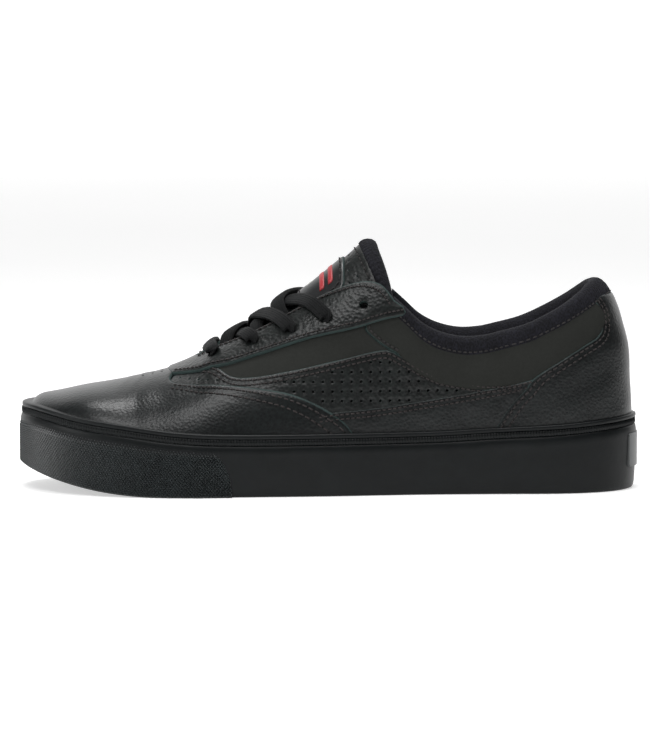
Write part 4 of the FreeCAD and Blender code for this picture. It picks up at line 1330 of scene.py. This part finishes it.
def on_stay(k, side, lift):
    """Point over or, if negative, under the lace stay at an eyelet."""
    x, z = EYELETS[k]
    return raised(arch_chart, x, side * upper_half_width(x, z), lift)


def on_tongue(x, across, lift):
    return raised(tongue_chart, x, across, lift)


def over_stay_edge(x, side, lift):
    return raised(arch_chart, x, side * (throat(x) + 1.6), lift)


def knots(k, side, leaving):
    """Stops through one eyelet, from outside to inside or the other way, with the half width."""
    outer = (*on_stay(k, side, LIFT["stay"] + 1.5), 3.3)
    rim = (*on_stay(k, side, 0.2), 2.3)
    inner = (*on_stay(k, side, -4.4), 2.3)
    return [inner, rim, outer] if leaving else [outer, rim, inner]


def strand(side, over):
    """Stops of one strand from its first eyelet's inside to its tucked end."""
    stops = []
    for k, crossing in enumerate(CROSSINGS):
        x_from, x_to = EYELETS[k][0], EYELETS[k + 1][0]
        lead = x_from + (crossing - x_from) * 0.45
        stops.append((*on_tongue(lead, side * throat(lead) * 0.86, 1.9), 3.2))
        stops.append((*on_tongue(crossing - 2.2, side * 4.5, 2.1 + over), LACE_HALF))
        side = -side
        stops.append((*on_tongue(crossing + 2.6, side * 5.0, 2.1 + over), LACE_HALF))
        trail = crossing + (x_to - crossing) * 0.62
        stops.append((*over_stay_edge(trail, side, LIFT["stay"] + 1.5), 3.3))
        stops += knots(k + 1, side, leaving=False)
    x, z = EYELETS[3]
    for step, fall in ((6, -9), (10, -20)):
        stops.append((*raised(wall_chart(side), x + step, z + fall, -4.9), 2.0))
    return stops


bar_x = EYELETS[0][0] - 0.6
bar = [
    (*over_stay_edge(bar_x, LATERAL, LIFT["stay"] + 1.3), 3.3),
    (*on_tongue(bar_x, 0.0, 4.6), LACE_HALF),
    (*over_stay_edge(bar_x, MEDIAL, LIFT["stay"] + 1.3), 3.3),
]
stops = (
    strand(LATERAL, 2.6)[::-1] + knots(0, LATERAL, True) + bar + knots(0, MEDIAL, False)
    + strand(MEDIAL, 0.0)
)


def flat_lace(stops):
    """Flat woven band through the stops, ribbed lengthwise."""
    table = np.array([np.r_[point, normal, half] for point, normal, half in stops])
    along = lengths_along(table[:, :3])
    fine = np.arange(0, along[-1], 0.7)
    path = np.stack([smooth_through(np.stack([along, c], -1), fine) for c in table.T], -1)
    points, up, half = path[:, :3], path[:, 3:6], path[:, 6]
    way = np.gradient(points, axis=0)
    way /= np.linalg.norm(way, axis=1, keepdims=True)
    across = np.cross(up, way)
    for _ in range(12):
        across = across / np.maximum(np.linalg.norm(across, axis=1, keepdims=True), 1e-9)
        across[1:-1] = (across[:-2] + across[1:-1] * 2 + across[2:]) / 4
    across -= way * (across * way).sum(1, keepdims=True)
    across /= np.linalg.norm(across, axis=1, keepdims=True)
    up = np.cross(way, across)
    thick = LACE_THICK / 2 * (1 + 0.35 * (LACE_HALF - half) / LACE_HALF)
    rows = []
    for angle in np.linspace(0, 2 * math.pi, 57)[:-1]:
        flat, high = signed_power(math.cos(angle), 0.75), signed_power(math.sin(angle), 0.55)
        rib = 0.2 * math.cos(flat * 6 * math.pi) * abs(high)
        weave = 0.05 * np.sin(fine * 2 * math.pi / 1.6 + (flat > 0) * math.pi)
        rows.append(points + across * (half * flat)[:, None]
                    + up * (high * (thick + rib + weave))[:, None])
    return closed_skin("flat_lace", rows, lace_cloth)


placed(flat_lace(stops), "root", "lace_cord", "lace")

# ---------------------------------------------------------------- studio
def stage_sheet(name, material, place, tilt, glow):
    """Large plane that also shines evenly."""
    shader = material.node_tree.nodes["Principled BSDF"]
    shader.inputs["Emission Color"].default_value = (1, 1, 1, 1)
    shader.inputs["Emission Strength"].default_value = glow
    bpy.ops.mesh.primitive_plane_add(size=12, location=place, rotation=(tilt, 0, 0))
    sheet = bpy.context.object
    sheet.name = name
    sheet.data.materials.append(material)
    sheet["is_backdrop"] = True


floor_finish = finish("studio_floor", (218, 218, 218), (222, 222, 222), 0.9, "NOISE", 400, 0.0)
stage_sheet("studio_ground", floor_finish, (0, 0, 0), 0, 0.5)
backdrop_finish = bpy.data.materials.new("studio_backdrop")
backdrop_finish.use_nodes = True
backdrop_finish.node_tree.nodes["Principled BSDF"].inputs["Base Color"].default_value = (0, 0, 0, 1)
stage_sheet("studio_backdrop", backdrop_finish, (0, 4.5, 0), math.pi / 2, 1.3)

world = bpy.data.worlds.new("studio_world")
bpy.context.scene.world = world
world.use_nodes = True
world.node_tree.nodes["Background"].inputs["Color"].default_value = (1, 1, 1, 1)
world.node_tree.nodes["Background"].inputs["Strength"].default_value = 0.12


def soft_light(name, place, target, size, energy):
    lamp = bpy.data.lights.new(name, "AREA")
    lamp.shape = "RECTANGLE"
    lamp.size, lamp.size_y = size
    lamp.energy = energy
    made = bpy.data.objects.new(name, lamp)
    made.location = place
    made.rotation_euler = (Vector(target) - Vector(place)).to_track_quat("-Z", "Y").to_euler()
    bpy.context.scene.collection.objects.link(made)


soft_light("key_light", (-0.25, -0.75, 1.15), (0, 0, 0.04), (0.8, 0.4), 8)
soft_light("top_light", (0.05, 0.1, 1.3), (0, 0, 0.05), (1.0, 0.35), 14)
soft_light("toe_light", (-1.1, -0.35, 0.45), (-0.05, 0, 0.05), (0.25, 0.5), 3)

VIEW_RISE = math.radians(5.0)
VIEW_DISTANCE, VIEW_HEIGHT = 2.0, 0.3497
aim = Vector((-1.5, -53.0, 58.0)) * MM
camera_data = bpy.data.cameras.new("camera")
camera = bpy.data.objects.new("camera", camera_data)
camera_data.lens = camera_data.sensor_width * VIEW_DISTANCE / VIEW_HEIGHT
camera.location = aim + Vector((0, -math.cos(VIEW_RISE), math.sin(VIEW_RISE))) * VIEW_DISTANCE
camera.rotation_euler = (aim - camera.location).to_track_quat("-Z", "Y").to_euler()
bpy.context.scene.collection.objects.link(camera)
bpy.context.scene.camera = camera
bpy.context.scene.view_settings.view_transform = "Standard"

low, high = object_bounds()
